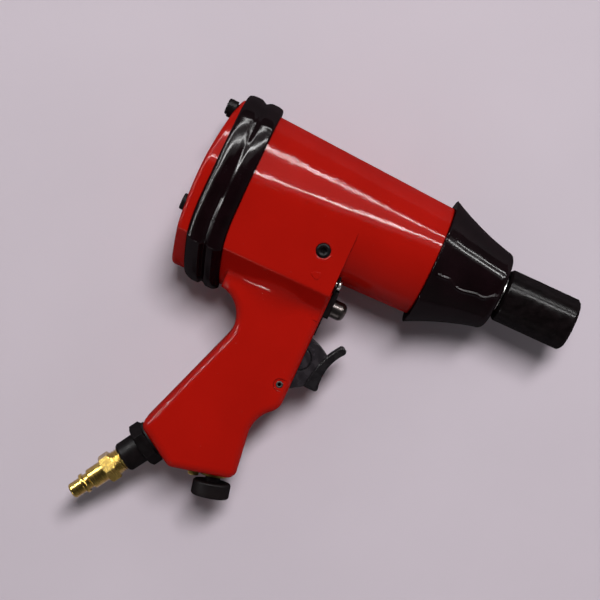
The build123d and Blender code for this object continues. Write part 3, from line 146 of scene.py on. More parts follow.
def feed(tree, node, inputs):
    """Sets a node's sockets to values, or links them to other sockets."""
    for key, value in inputs.items():
        if isinstance(value, bpy.types.NodeSocket):
            tree.links.new(value, node.inputs[key])
        else:
            node.inputs[key].default_value = value


def add(tree, kind, inputs=None, **settings):
    """A node with its settings and its sockets' values or links."""
    made = tree.nodes.new(kind)
    for key, value in settings.items():
        setattr(made, key, value)
    feed(tree, made, inputs or {})
    return made


def started(name):
    """A new material and its node tree."""
    material = bpy.data.materials.new(name)
    material.use_nodes = True
    return material, material.node_tree


def where(tree, kind="Object"):
    """A place on the object that wears a material, or in its own map."""
    source = tree.nodes.get("Texture Coordinate") or add(tree, "ShaderNodeTexCoord")
    return source.outputs[kind]


def worked(tree, operation, *values):
    """The result of arithmetic on numbers and sockets."""
    return add(tree, "ShaderNodeMath", dict(enumerate(values)), operation=operation).outputs["Value"]


def coordinate(tree, axis):
    """One of a place's three coordinates."""
    return add(tree, "ShaderNodeSeparateXYZ", {"Vector": where(tree)}).outputs[axis]


def away(tree, axis, middle):
    """Distance of a place from a middle value of one coordinate."""
    return worked(tree, "ABSOLUTE", worked(tree, "SUBTRACT", coordinate(tree, axis), middle))


def speckle(tree, size, detail, rough=0.5):
    """Noise whose spots are about a size across, in metres."""
    inputs = {"Vector": where(tree), "Scale": 1.0 / size, "Detail": detail, "Roughness": rough}
    return add(tree, "ShaderNodeTexNoise", inputs).outputs["Fac"]


def streaks(tree, scale, detail, kind="Object"):
    """Noise that is drawn out into lines by a scale for each axis."""
    lines = add(tree, "ShaderNodeMapping", {"Vector": where(tree, kind), "Scale": scale}).outputs["Vector"]
    return add(tree, "ShaderNodeTexNoise", {"Vector": lines, "Scale": 1.0, "Detail": detail}).outputs["Fac"]


def spread(tree, fac, low, high, start=0.3, end=0.7):
    """A number carried from one range of a pattern to another range."""
    inputs = {"Value": fac, "From Min": start, "From Max": end, "To Min": low, "To Max": high}
    return add(tree, "ShaderNodeMapRange", inputs).outputs["Result"]


def clouds(tree, size, detail, low=0.0, high=1.0, start=0.3, end=0.7, rough=0.5):
    """Noise with spots of a size, carried to a range."""
    return spread(tree, speckle(tree, size, detail, rough), low, high, start, end)


def mix(tree, fac, first, second):
    """A colour between two colours, each of which is three numbers or a socket."""
    ends = [end if isinstance(end, bpy.types.NodeSocket) else (*end, 1.0) for end in (first, second)]
    return add(tree, "ShaderNodeMix", {"Factor": fac, 6: ends[0], 7: ends[1]}, data_type="RGBA").outputs[2]


def shade(colour, part):
    """A colour made darker or lighter by a factor."""
    return tuple(min(1.0, value * part) for value in colour)


def relief(tree, height, depth, normal=None):
    """A surface normal tilted by the slope of a height pattern."""
    bump = add(tree, "ShaderNodeBump", {"Height": height, "Distance": depth, "Strength": 1.0})
    if normal is not None:
        feed(tree, bump, {"Normal": normal})
    return bump.outputs["Normal"]


def rounded_edges(tree, radius):
    """The normal of a surface whose edges are rounded over a radius."""
    return add(tree, "ShaderNodeBevel", {"Radius": radius}, samples=6).outputs["Normal"]


def edge_mask(tree, soft):
    """1 where the rounded normal leaves the surface's own, and 0 on even faces."""
    flat = add(tree, "ShaderNodeNewGeometry").outputs["Normal"]
    turn = add(tree, "ShaderNodeVectorMath", {0: soft, 1: flat}, operation="DOT_PRODUCT").outputs["Value"]
    return spread(tree, turn, 1.0, 0.0, 0.86, 0.99)


def open_sky(tree, reach):
    """How open a place lies: 1 on even faces, and less in corners and grooves within a reach."""
    return add(tree, "ShaderNodeAmbientOcclusion", {"Distance": reach}, samples=8).outputs["AO"]


def glaze(tree, colour, weight, rough, normal):
    """A matt colour under a thin clear layer, which mirrors nearly the same share of light at all angles."""
    coat = {"Coat Weight": weight, "Coat IOR": 2.5, "Coat Roughness": rough, "Coat Normal": normal}
    matt = {"Base Color": colour, "Normal": normal, "Specular IOR Level": 0.0}
    feed(tree, tree.nodes["Principled BSDF"], matt | coat)


def uncoated(tree, colour, rough, normal, metal=0.0, mirror=0.5):
    """A bare surface, either metal or with a share of mirrored light."""
    look = {"Base Color": colour, "Roughness": rough, "Normal": normal}
    feed(tree, tree.nodes["Principled BSDF"], look | {"Metallic": metal, "Specular IOR Level": mirror})


def enamel(name, radius):
    """Glossy red paint on a casting: slow changes of colour, a ripple, worn edges and painted shade in the
    corners.

    Edges are rounder along the crease and where the handle starts. A painted highlight runs pale along the crease,
    fainter in front.
    """
    material, tree = started(name)
    finishes = bpy.context.scene.wrench_finishes
    red = finishes.enamel
    tone = mix(tree, clouds(tree, 45.0 * MM, 3.0), shade(red, 0.92), shade(red, 1.07))
    off_crease = away(tree, "Y", -crease_drop * MM)
    off_handle = away(tree, "X", (handle_station - origin_station) * MM)
    round_crease = spread(tree, off_crease, 4.0 * radius, radius, 2.5 * MM, 4.5 * MM)
    round_handle = spread(tree, off_handle, 4.0 * radius, radius, 2.0 * MM, 4.5 * MM)
    soft = rounded_edges(tree, worked(tree, "MAXIMUM", round_crease, round_handle))
    edge = edge_mask(tree, soft)
    thin = mix(tree, spread(tree, edge, 0.0, 0.35, 0.2, 1.0), tone, shade(red, 1.35))
    # Painted highlight: a pale line along the rounded crease, fading from the rear towards the front.
    line = spread(tree, off_crease, 0.6, 0.0, 0.2 * MM, 0.55 * MM)
    fade = spread(tree, coordinate(tree, "X"), 1.0, 0.0, 12.0 * MM, 52.0 * MM)
    crease_highlight_mask = worked(tree, "MULTIPLY", worked(tree, "MULTIPLY", line, fade), spread(tree, edge, 0.0, 1.0, 0.3, 0.6))
    with_crease_highlight = mix(tree, crease_highlight_mask, thin, (0.46, 0.08, 0.065))
    specks = mix(tree, clouds(tree, 0.9 * MM, 1.0, 0.0, 0.3, 0.8, 0.86), with_crease_highlight, (0.55, 0.3, 0.28))
    # Painted shade: the colour turns towards a near-black red in corners and grooves, by how little of the sky
    # they see.
    painted_corner_shade = spread(tree, open_sky(tree, 1.0 * MM), 0.9, 0.0, 0.5, 0.85)
    colour = mix(tree, painted_corner_shade, specks, (0.02, 0.001, 0.001))
    peel = relief(tree, speckle(tree, finishes.enamel_peel, 1.0, 0.4), 0.03 * MM, soft)
    swell = relief(tree, speckle(tree, 6.0 * MM, 1.0), 0.015 * MM, peel)
    glaze(tree, colour, 0.045, clouds(tree, 20.0 * MM, 4.0, 0.05, 0.08), swell)
    return material


def moulded_rubber(name, gloss, grain):
    """Black rubber: faint grey bloom in clouds, satin gloss and a fine moulded grain."""
    material, tree = started(name)
    black = bpy.context.scene.wrench_finishes.rubber
    bloom = mix(tree, clouds(tree, 12.0 * MM, 5.0, 0.0, 1.0, 0.35, 0.75), black, shade(black, 2.0))
    colour = mix(tree, clouds(tree, 0.7 * MM, 1.0, 0.0, 0.5, 0.78, 0.86), bloom, (0.04, 0.035, 0.035))
    swell = relief(tree, speckle(tree, 9.0 * MM, 1.0), 0.02 * MM, rounded_edges(tree, 0.5 * MM))
    skin = relief(tree, speckle(tree, 0.5 * MM, 2.0), grain, swell)
    glaze(tree, colour, 0.05, clouds(tree, 8.0 * MM, 4.0, gloss - 0.03, gloss + 0.05), skin)
    return material


def blackened_steel(name, gloss):
    """Oxide-black steel: blotches of brown and grey, fine pits and worn edges."""
    material, tree = started(name)
    black = bpy.context.scene.wrench_finishes.dark_steel
    blotch = clouds(tree, 5.0 * MM, 6.0, 0.0, 1.0, 0.38, 0.68, 0.62)
    tone = mix(tree, blotch, black, shade(black, 2.4))
    soft = rounded_edges(tree, 0.35 * MM)
    rubbed = clouds(tree, 1.6 * MM, 4.0, 0.0, 0.55, 0.4, 0.7)
    colour = mix(tree, worked(tree, "MULTIPLY", edge_mask(tree, soft), rubbed), tone, (0.05, 0.045, 0.045))
    pits = relief(tree, speckle(tree, 0.35 * MM, 3.0), 0.012 * MM, soft)
    glaze(tree, colour, 0.032, clouds(tree, 3.0 * MM, 5.0, gloss - 0.06, gloss + 0.12), pits)
    return material


def ground_steel(name, colour, gloss, grain=(60.0, 2500.0, 2500.0)):
    """Bright steel with fine ground lines along the spindle and a slight change of tone."""
    material, tree = started(name)
    scratch = streaks(tree, grain, 3.0)
    tone = mix(tree, clouds(tree, 6.0 * MM, 3.0), shade(colour, 0.86), shade(colour, 1.06))
    skin = relief(tree, scratch, 0.004 * MM, rounded_edges(tree, 0.2 * MM))
    uncoated(tree, tone, spread(tree, scratch, gloss - 0.06, gloss + 0.1), skin, metal=1.0)
    return material


def turned_brass(name, colour, gloss):
    """Brass with rings left by the lathe, read from the piece's own map, and brown tarnish in patches."""
    material, tree = started(name)
    cut = streaks(tree, (3.0, 420.0, 1.0), 4.0, "UV")
    brown = (colour[0] * 0.55, colour[1] * 0.42, colour[2] * 0.35)
    tone = mix(tree, clouds(tree, 3.5 * MM, 5.0, 0.0, 0.75, 0.42, 0.72, 0.6), colour, brown)
    skin = relief(tree, cut, 0.008 * MM, rounded_edges(tree, 0.25 * MM))
    uncoated(tree, tone, spread(tree, cut, gloss - 0.06, gloss + 0.1), skin, metal=1.0)
    return material


def grey_casting():
    """Dark grey die casting: a cloudy tone on the web that is a painted sheen, a darker blade, painted shade in
    the grooves, and edges lighter partly from rub wear and partly as a painted highlight.
    """
    material, tree = started("trigger_grey")
    grey = bpy.context.scene.wrench_finishes.grey_casting
    # Painted sheen: the cloudy lighter and darker tone stands in for the sheen on the web.
    cloud = clouds(tree, 4.5 * MM, 3.0)
    tone = mix(tree, cloud, shade(grey, 0.65), shade(grey, 1.35))
    # The blade, which stands farther out of the side than the web, is made darker.
    blade = spread(tree, away(tree, "Z", spindle_height), 0.0, 1.0, 6.0 * MM, 7.0 * MM)
    with_darker_blade = mix(tree, blade, tone, shade(grey, 0.38))
    soft = rounded_edges(tree, 0.6 * MM)
    # Lighter edges: partly rub wear and partly a painted highlight.
    rubbed = mix(tree, spread(tree, edge_mask(tree, soft), 0.0, 0.4, 0.25, 1.0), with_darker_blade, shade(grey, 1.9))
    # Painted shade: the colour turns near-black in the grooves, by how little of the sky they see.
    painted_corner_shade = spread(tree, open_sky(tree, 1.2 * MM), 0.95, 0.0, 0.45, 0.8)
    colour = mix(tree, painted_corner_shade, rubbed, (0.001, 0.001, 0.001))
    skin = relief(tree, speckle(tree, 0.5 * MM, 4.0, 0.6), 0.012 * MM, soft)
    glaze(tree, colour, 0.12, spread(tree, cloud, 0.2, 0.34, 0.0, 1.0), skin)
    return material


def dark_moulding(name, colour, gloss):
    """Moulded plastic: even dark colour with a leathery grain and paler rubbed edges."""
    material, tree = started(name)
    cloud = clouds(tree, 7.0 * MM, 4.0)
    tone = mix(tree, cloud, shade(colour, 0.8), shade(colour, 1.35))
    soft = rounded_edges(tree, 0.4 * MM)
    rubbed = mix(tree, spread(tree, edge_mask(tree, soft), 0.0, 0.35), tone, shade(colour, 3.0))
    skin = relief(tree, speckle(tree, 0.45 * MM, 2.0), 0.02 * MM, soft)
    glaze(tree, rubbed, 0.045, spread(tree, cloud, gloss - 0.05, gloss + 0.08, 0.0, 1.0), skin)
    return material


def pressed_fibre(name, colour):
    """Pressed fibre: short pale strands on a brown ground."""
    material, tree = started(name)
    strand = streaks(tree, (300.0, 2200.0, 2200.0), 4.0)
    tone = mix(tree, spread(tree, strand, 0.0, 1.0), shade(colour, 0.65), shade(colour, 1.3))
    uncoated(tree, tone, spread(tree, strand, 0.55, 0.75), relief(tree, strand, 0.03 * MM))
    return material


def paper_floor(colour):
    """Pale matt paper: very slow cloudy tone and a fine tooth."""
    material, tree = started("pale_floor")
    cloud = clouds(tree, 120.0 * MM, 4.0)
    tone = mix(tree, cloud, shade(colour, 0.975), shade(colour, 1.025))
    tooth = relief(tree, speckle(tree, 0.6 * MM, 3.0), 0.03 * MM)
    uncoated(tree, tone, spread(tree, cloud, 0.62, 0.72, 0.0, 1.0), tooth, mirror=0.2)
    return material


def soft_shading():
    """A modifier's node group that joins loose triangles and smooths all edges flatter than 24 degrees."""
    name = "smooth_faces"
    if name in bpy.data.node_groups:
        return bpy.data.node_groups[name]
    tree = bpy.data.node_groups.new(name, "GeometryNodeTree")
    for way in ("INPUT", "OUTPUT"):
        tree.interface.new_socket(name="Geometry", in_out=way, socket_type="NodeSocketGeometry")
    loose = add(tree, "NodeGroupInput").outputs["Geometry"]
    joined = add(tree, "GeometryNodeMergeByDistance", {"Geometry": loose, "Distance": 0.002 * MM})
    smooth = add(tree, "GeometryNodeSetShadeSmooth", {"Geometry": joined.outputs["Geometry"]}, domain="FACE")
    bend = add(tree, "GeometryNodeInputMeshEdgeAngle").outputs["Unsigned Angle"]
    sharp = add(
        tree, "FunctionNodeCompare", {"A": bend, "B": radians(24.0)}, data_type="FLOAT", operation="GREATER_THAN"
    ).outputs["Result"]
    inputs = {"Geometry": smooth.outputs["Geometry"], "Selection": sharp, "Shade Smooth": False}
    creased = add(tree, "GeometryNodeSetShadeSmooth", inputs, domain="EDGE")
    add(tree, "NodeGroupOutput", {"Geometry": creased.outputs["Geometry"]})
    return tree


def dress(material, *names):
    """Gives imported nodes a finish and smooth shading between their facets."""
    for name in names:
        node = frame["nodes"][name]
        node.data.materials.clear()
        node.data.materials.append(material)
        modifier = node.modifiers.new("Smooth faces", "NODES")
        modifier.node_group = soft_shading()


def placed(name, data):
    """A new object in the scene over a mesh, a lamp or a camera."""
    made = bpy.data.objects.new(name, data)
    bpy.context.scene.collection.objects.link(made)
    return made


def finished(name, points, loop, material, body, nodes=(), sharp=28.0):
    """An object over grids of points.

    points has the shape (copies, rows, columns, 3). Rows follow a profile and columns go once round and
    join up. Where loop is true the last row joins the first, and otherwise a fan closes both ends. The
    piece's own map has the share of the turn and the way along the profile in decimetres.
    """
    copies, rows, columns = points.shape[:3]
    index = np.arange(copies * rows * columns).reshape(copies, rows, columns)
    after = np.roll(index, -1, axis=2)
    below = np.roll(index, -1, axis=1)
    corner = np.roll(after, -1, axis=1)
    quads = np.stack((index, after, corner, below), axis=-1)
    if not loop:
        quads = quads[:, :-1]
    way = np.linalg.norm(np.diff(points[0, :, 0], axis=0, append=points[0, :1, 0]), axis=-1)
    along = np.r_[0.0, np.cumsum(way)] * 10.0
    turn = np.arange(columns + 1) / columns
    across = np.stack((turn[:-1], turn[1:], turn[1:], turn[:-1]), axis=-1)
    down = np.stack((along[:-1], along[:-1], along[1:], along[1:]), axis=-1)[:quads.shape[1], None]
    uv = np.stack([np.broadcast_to(part, quads.shape) for part in (across, down)], axis=-1).reshape(-1, 2)
    vertices = points.reshape(-1, 3)
    faces = quads.reshape(-1, 4).tolist()
    if not loop:
        ends = points[:, (0, -1)].mean(axis=2)
        hub = len(vertices) + np.arange(copies * 2).reshape(copies, 2, 1)
        vertices = np.concatenate((vertices, ends.reshape(-1, 3)))
        near = np.stack((after[:, 0], index[:, -1]), axis=1)
        far = np.stack((index[:, 0], after[:, -1]), axis=1)
        faces += np.stack((near, far, np.broadcast_to(hub, near.shape)), axis=-1).reshape(-1, 3).tolist()
        fan = np.tile(np.c_[turn[1:], turn[:-1], turn[:-1]], (2 * copies, 1)).reshape(-1)
        uv = np.concatenate((uv, np.c_[fan, np.zeros_like(fan)]))
    mesh = bpy.data.meshes.new(name)
    mesh.from_pydata(vertices.tolist(), [], faces)
    mesh.uv_layers.new(name="UVMap").data.foreach_set("uv", uv.astype(np.float32).reshape(-1))
    mesh.polygons.foreach_set("use_smooth", np.ones(len(mesh.polygons), dtype=bool))
    mesh.set_sharp_from_angle(angle=radians(sharp))
    mesh.materials.append(material)
    mesh.validate()
    mesh.update()
    piece = placed(name, mesh)
    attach(piece, body)
    if nodes:
        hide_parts(*nodes)
    return piece


def softened(profile, radius, steps=5):
    """A closed profile with every corner rounded.

    Each corner becomes a quadratic curve from a point on the side before it to one on the side after it,
    both a radius away from the corner or nearly half a side where the side is short. Columns after the
    first two, such as how far a row is a polygon, are carried along in the same shares.
    """
    corner = np.asarray(profile, dtype=float)
    before = np.roll(corner, 1, axis=0) - corner
    after = np.roll(corner, -1, axis=0) - corner
    near = np.linalg.norm(before[:, :2], axis=1, keepdims=True)
    far = np.linalg.norm(after[:, :2], axis=1, keepdims=True)
    start = corner + before / near * np.minimum(radius, 0.45 * near)
    end = corner + after / far * np.minimum(radius, 0.45 * far)
    t = np.linspace(0.0, 1.0, steps)[None, :, None]
    curve = (1 - t) ** 2 * start[:, None] + 2 * t * (1 - t) * corner[:, None] + t**2 * end[:, None]
    return curve.reshape(-1, corner.shape[1])


def full_turn(columns):
    """Even angles round a turn."""
    return np.arange(columns) * (2.0 * pi / columns)


def turned(origin, axis, along, out):
    """Points round an axis: origin + along * axis + out * (cos turn * side + sin turn * up).

    out has the shape (rows, columns), and along has a value for each row or for each point. The columns
    share one full turn. The side direction is square to the axis and to +Z.
    """
    axis = np.array(axis) / np.linalg.norm(axis)
    side = np.array((-axis[1], axis[0], 0.0))
    up = np.array((0.0, 0.0, 1.0))
    turn = full_turn(out.shape[1])[:, None]
    ray = np.cos(turn) * side + np.sin(turn) * up
    return np.array(origin) + along[..., None] * axis + out[..., None] * ray


def upright(x, y, height, out):
    """Points round a line along +Z through x and y: each row has its height and its distances out."""
    turn = full_turn(out.shape[1])
    height = np.broadcast_to(height, out.shape)
    return np.dstack((x + out * np.cos(turn), y + out * np.sin(turn), height))


def prism(turn, sides, half, corner=0.0):
    """Distance from the middle to the side of a regular prism: half / cos of the angle off the side's middle."""
    step = 2.0 * pi / sides
    return half / np.cos(np.mod(turn - corner, step) - step / 2.0)


def ramp(value, start=0.0, run=1.0):
    """A rise from 0 to 1 without corners: 3 v^2 - 2 v^3, where v is the share of a run from a start."""
    v = np.clip((value - start) / run, 0.0, 1.0)
    return v * v * (3.0 - 2.0 * v)


def side_height(x):
    """Height of the block's visible side above the rest surface at x, in metres."""
    return spindle_height + block_half * MM - block_taper * (x + origin_station * MM)


def hexed(line, columns):
    """Distances out round a profile in millimetres, whose third column says how far a row is a hexagon."""
    share = line[:, 2:3]
    return line[:, 1:2] * MM * (1.0 - share + share * prism(full_turn(columns), 6, 1.0))


def inlet_line():
    """Start and direction of the air inlet's axis, at the handle's face, from the plug's mount."""
    tip = mounts["air_plug_tip"]
    reach = 47.0 * MM
    axis = np.array(tip["axis"])
    return np.array(tip["pos_m"]) - reach * axis, axis


def hang_lamp(name, start, end, deep, level, matt=False):
    """A long lamp high up between two places, each given as slopes across and up the picture.

    Its depth is a slope as well. A lamp lights either matt colours or gloss, so that the soft shade and
    the bright lines are set apart.
    """
    up = Vector((0.0, 0.0, 1.0))
    across = picture_up.cross(up)
    first, last = (lamp_height * (u * across + v * picture_up + up) for u, v in (start, end))
    along = last - first
    middle = (first + last) / 2.0
    level_way = along.normalized()
    out = (middle - middle.dot(level_way) * level_way).normalized()
    light = bpy.data.lights.new(name, "AREA")
    light.shape = "RECTANGLE"
    light.size = along.length
    light.size_y = lamp_height * deep
    light.energy = pi * level * light.size * light.size_y
    turn = Matrix((level_way, out.cross(level_way), out)).transposed()
    lamp = placed(name, light)
    lamp.matrix_world = Matrix.Translation(middle + lamp_middle) @ turn.to_4x4()
    lamp.visible_diffuse = matt
    lamp.visible_glossy = not matt


def lay_floor(stage):
    """Flat sheet over the whole view: x and y from a grid of two even parameters, z at the rest surface."""
    count = 9
    even = np.linspace(-4.0, 4.0, count)
    x, y = np.meshgrid(even, even, indexing="ij")
    points = np.dstack((x, y, np.zeros_like(x))).reshape(-1, 3)
    index = np.arange(count**2).reshape(count, count)
    quads = np.stack((index[:-1, :-1], index[1:, :-1], index[1:, 1:], index[:-1, 1:]), axis=-1)
    mesh = bpy.data.meshes.new("floor")
    mesh.from_pydata(points.tolist(), [], quads.reshape(-1, 4).tolist())
    mesh.materials.append(paper_floor(stage.floor))
    sheet = placed("floor", mesh)


def set_sky(scene, stage):
    """Soft light of a room by direction: dim straight above and rising to the sides."""
    world = bpy.data.worlds.new("studio")
    scene.world = world
    world.use_nodes = True
    tree = world.node_tree
    toward = add(tree, "ShaderNodeTexCoord").outputs["Generated"]
    part = add(tree, "ShaderNodeSeparateXYZ", {"Vector": toward})
    rise = spread(tree, part.outputs["Z"], 1.5, 0.2, 0.2, 0.95)
    light = tree.nodes["Background"]
    strength = worked(tree, "MULTIPLY", rise, stage.room_level)
    feed(tree, light, {"Strength": strength, "Color": (1.0, 0.98, 1.0, 1.0)})


class WRENCH_OT_stage(Operator):
    """Sets the pale floor, the soft light, the rows of lamps and the camera"""

    bl_idname = "wrench.stage"
    bl_label = "Floor, light and camera"

    def execute(self, context):
        scene = context.scene
        stage = scene.wrench_stage
        scene.view_settings.view_transform = "Standard"
        lay_floor(stage)
        set_sky(scene, stage)
        hang_lamp("key_lamp", (-0.03, 0.25), (0.36, 0.56), 0.18, stage.key_level, matt=True)
        hang_lamp("near_row", (-3.0, 0.70), (4.0, 0.70), 0.05, stage.row_level)
        hang_lamp("far_row", (-3.0, 1.27), (4.0, 1.27), 0.05, stage.row_level)
        hang_lamp("ceiling", (-3.0, 0.80), (4.0, 0.80), 0.66, stage.ceiling_level)
        hang_lamp("side_strip", (-1.7, -1.79), (-1.12, -2.187), 0.09, stage.side_level)
        camera = bpy.data.cameras.new("camera")
        camera.sensor_fit = "HORIZONTAL"
        camera.sensor_width = 36.0
        camera.lens = stage.focal_length
        camera.clip_end = 50.0
        view = placed("camera", camera)
        back = (camera_place - camera_aim).normalized()
        right = picture_up.cross(back).normalized()
        turn = Matrix((right, back.cross(right), back)).transposed()
        view.matrix_world = Matrix.Translation(camera_place) @ turn.to_4x4()
        scene.camera = view
        return {"FINISHED"}


def neck_curves(red):
    """Hollow curves between the block's skirts and the handle's sides, in millimetres until the last lines.

    Each section turns through the angle between handle and skirt by a smooth step, so that it meets both
    without a line. Its size grows from the rear and dies away to the front, where the section sinks into
    the casting. Lines inside the casting close the section.
    """
    rear, front = 20.0, 65.5
    station = np.linspace(rear, front, 92)[:, None]
    half = block_half - block_taper * station
    radius = 8.4 + 21.6 * ramp(station, rear, 22.0) * ramp(station, front, -20.0)
    leg = radius * tan(skirt_turn / 2.0)
    bend = skirt_turn * ramp(np.linspace(0.0, 1.0, 41))
    step = (bend[1:] + bend[:-1]) / 2.0
    rise = np.r_[0.0, np.cumsum(np.cos(step))]
    out_run = np.r_[0.0, np.cumsum(np.sin(step))]
    size = leg * sin(skirt_turn) / out_run[-1]
    corner = crease_drop + (half - handle_half) / tan(skirt_turn)
    low = corner + leg
    share = np.linspace(0.0, 1.0, 14)
    # The curve starts just inside the handle's side, and its closing lines lie deeper in the casting
    high = low - size * rise[-1] - 0.5
    top = handle_half + size * out_run[-1] - 0.4
    deep = np.full_like(low, handle_half - 0.7)
    drop = np.c_[low - size * rise, high + share * (corner - high), corner + share * (low - corner)]
    out = np.c_[handle_half - 0.035 + size * out_run, top + share * (deep - top), deep + 0.0 * share]
    x = np.broadcast_to((station - origin_station) * MM, out.shape)
    right, left = (np.dstack((x, -drop * MM, spindle_height + side * out)) for side in (MM, -MM))
    finished("neck_curves", np.stack((right[:, ::-1], left)), False, red, "tool", (), 50.0)


class WRENCH_OT_castings(Operator):
    """Paints the housing and the rear cover, and builds the hollow curves of the neck"""

    bl_idname = "wrench.castings"
    bl_label = "Housing, rear cover and neck"

    def execute(self, context):
        red = enamel("red_enamel", 0.7 * MM)
        dress(red, "housing", "rear_cover")
        neck_curves(red)
        return {"FINISHED"}


def body_outline():
    """Rise and distance out of the body's outline in millimetres, and the lean of its normal.

    From the top: the crown's arc, a long flat arc, the flat side, the crease, the skirt and the arc of
    the lobe below. The left half mirrors the right one.
    """
    crown = np.radians(np.linspace(0.0, 61.0, 48))
    slope = np.radians(np.linspace(61.0, 90.0, 50))
    flat_drop, half = 16.78, 32.425
    crown_radius, side_radius, lobe_radius = 25.4, 81.46, 20.515
    flat = np.linspace(-flat_drop, -crease_drop, 24)
    crease = np.radians(np.linspace(90.0, 144.0, 18))
    fall = np.linspace(0.0, 1.0, 20)
    lobe = np.radians(np.linspace(144.0, 180.0, 24))
    rise = np.r_[
        10.4 + crown_radius * np.cos(crown), -flat_drop + side_radius * np.cos(slope[1:]), flat[1:],
        np.full(17, -crease_drop), -crease_drop - 14.797 * fall[1:], -36.0 + lobe_radius * np.cos(lobe[1:]),
    ]
    out = np.r_[
        crown_radius * np.sin(crown), -49.035 + side_radius * np.sin(slope[1:]), np.full(40, half),
        half - 20.367 * fall[1:], lobe_radius * np.sin(lobe[1:]),
    ]
    lean = np.r_[crown, slope[1:], np.full(23, 0.5 * pi), crease[1:], np.full(19, radians(144.0)), lobe[1:]]
    back = slice(-2, 0, -1)
    return np.r_[rise, rise[back]], np.r_[out, -out[back]], np.r_[lean, -lean[back]]


def band_section():
    """Section of the band by rows: stations, inner heights, and the outer side's falls on crown and sides.

    Each ridge falls from its crest to the band's edge, where t goes from 0 to 1, by 0.75 t^2 and a little
    more past the middle on the crown, and by 2.3 t^2 on the sides. Towards the valley it falls by shares of
    the valley's depth: a parabola and a smooth step on the crown, and a later smooth step on the sides. The
    walls and the inner side are heights over the body in millimetres, and leave a channel for the flanges
    of housing and cover.
    """
    t = np.sin(np.linspace(-0.5 * pi, 0.5 * pi, 61))
    far = np.abs(t)
    corner = 0.5 * np.clip((far - 0.86) / 0.14, 0.0, 1.0) ** 2
    gentle = 0.75 * t**2 + 0.4 * np.clip((far - 0.45) / 0.55, 0.0, 1.0) ** 2 + corner
    steep = 2.3 * t**2 + corner
    dip = 0.5 * t**2 + 0.5 * ramp(far, 0.4, 0.6)
    step = ramp(far, 0.5, 0.5) + 0.08 * t**2
    wall_place = np.array((8.6, 8.6, 4.65, 4.65, -5.65, -5.65, -10.8, -10.8))
    wall_height = np.array((1.0, -0.5, -0.1, 2.28, 2.28, 0.0, -0.3, 1.0))
    rest = np.zeros_like(wall_place)
    place = np.r_[-5.9 + 4.9 * t[:-1], 3.8 + 4.8 * t, wall_place]
    inner = np.r_[np.full(2 * len(t) - 1, np.nan), wall_height]
    rear = t < 0.0
    falls = [np.r_[(rear * f)[:-1], ~rear * f, rest] for f in (gentle, steep)]
    dips = [np.r_[(~rear * f)[:-1], rear * f, rest] for f in (dip, step)]
    return place, inner, *falls, *dips


class WRENCH_OT_bumper(Operator):
    """Builds the rubber bumper, a band with two crowned ridges round the joint of housing and cover"""

    bl_idname = "wrench.bumper"
    bl_label = "Bumper"

    def execute(self, context):
        rubber = moulded_rubber("bumper_rubber", 0.1, 0.005 * MM)
        rise, out, lean = body_outline()
        place, inner, gentle, steep, dip, step = band_section()
        turn = np.degrees(np.abs(lean))
        # The ridges are fullest between crown and sides, and stay above the rest surface
        proud = 3.98 + 2.0 * ramp(turn, 15.0, 40.0) * ramp(turn, 86.0, -30.0)
        room = (spindle_height / MM - np.abs(out)) / np.maximum(np.abs(np.sin(lean)), 0.05)
        crest = (proud**-20.0 + room**-20.0) ** (-1.0 / 20.0)
        # The sides have steeper ridges and a shallower valley than the crown
        flank = ramp(turn, 66.0, 18.0)
        valley = 1.45 - 0.9 * ramp(turn, 62.0, 8.0) + 0.3 * ramp(turn, 84.0, 5.0)
        valley = valley + 0.6 * ramp(turn, 92.0, 20.0)
        fall = gentle[:, None] + (steep - gentle)[:, None] * flank
        share = dip[:, None] + (step - dip)[:, None] * flank
        arched = crest - fall - share * valley
        tall = np.where(np.isnan(inner)[:, None], arched, inner[:, None])
        y = rise + tall * np.cos(lean)
        z = out + tall * np.sin(lean)
        # The band bends forwards on an arc lower down
        bend_drop, bend_radius = 20.0, 105.0
        below = np.maximum(-y - bend_drop, 0.0)
        x = place[:, None] - origin_station + bend_radius - np.sqrt(bend_radius**2 - below**2)
        points = np.dstack((x * MM, y * MM, z * MM + spindle_height))
        finished("bumper_band", points[None], True, rubber, "tool", ("bumper",), 40.0)
        return {"FINISHED"}


def boot_outline():
    """Stations and radii round the boot's wall in millimetres.

    Outside, an arc runs from the lip at station 110 to the shoulder at 145, and a quarter turn of 4 mm
    leads to the end face. The wall's inner side goes back in straight runs over the housing's nose.
    """
    reach = np.linspace(110.6, 145.0, 48)
    cone = 178.123 - np.sqrt(161.334**2 - (reach - 183.297) ** 2)
    bend = np.linspace(0.1, 0.5 * pi, 14)
    shoulder = 145.0 + 4.0 * np.sin(bend)
    corner = 17.4 + 4.0 * np.cos(bend)
    inner = softened(
        ((149.0, 13.2), (146.55, 13.2), (146.55, 17.65), (131.0, 22.45), (113.05, 27.25), (113.05, 29.85),
         (110.0, 29.85), (110.0, 34.1)), 0.3, 4
    )
    lip = np.array(((110.15, 34.3), (110.35, 34.33)))
    station = np.r_[reach, shoulder, inner[:, 0], lip[:, 0]]
    radius = np.r_[cone, corner, inner[:, 1], lip[:, 1]]
    return station, radius


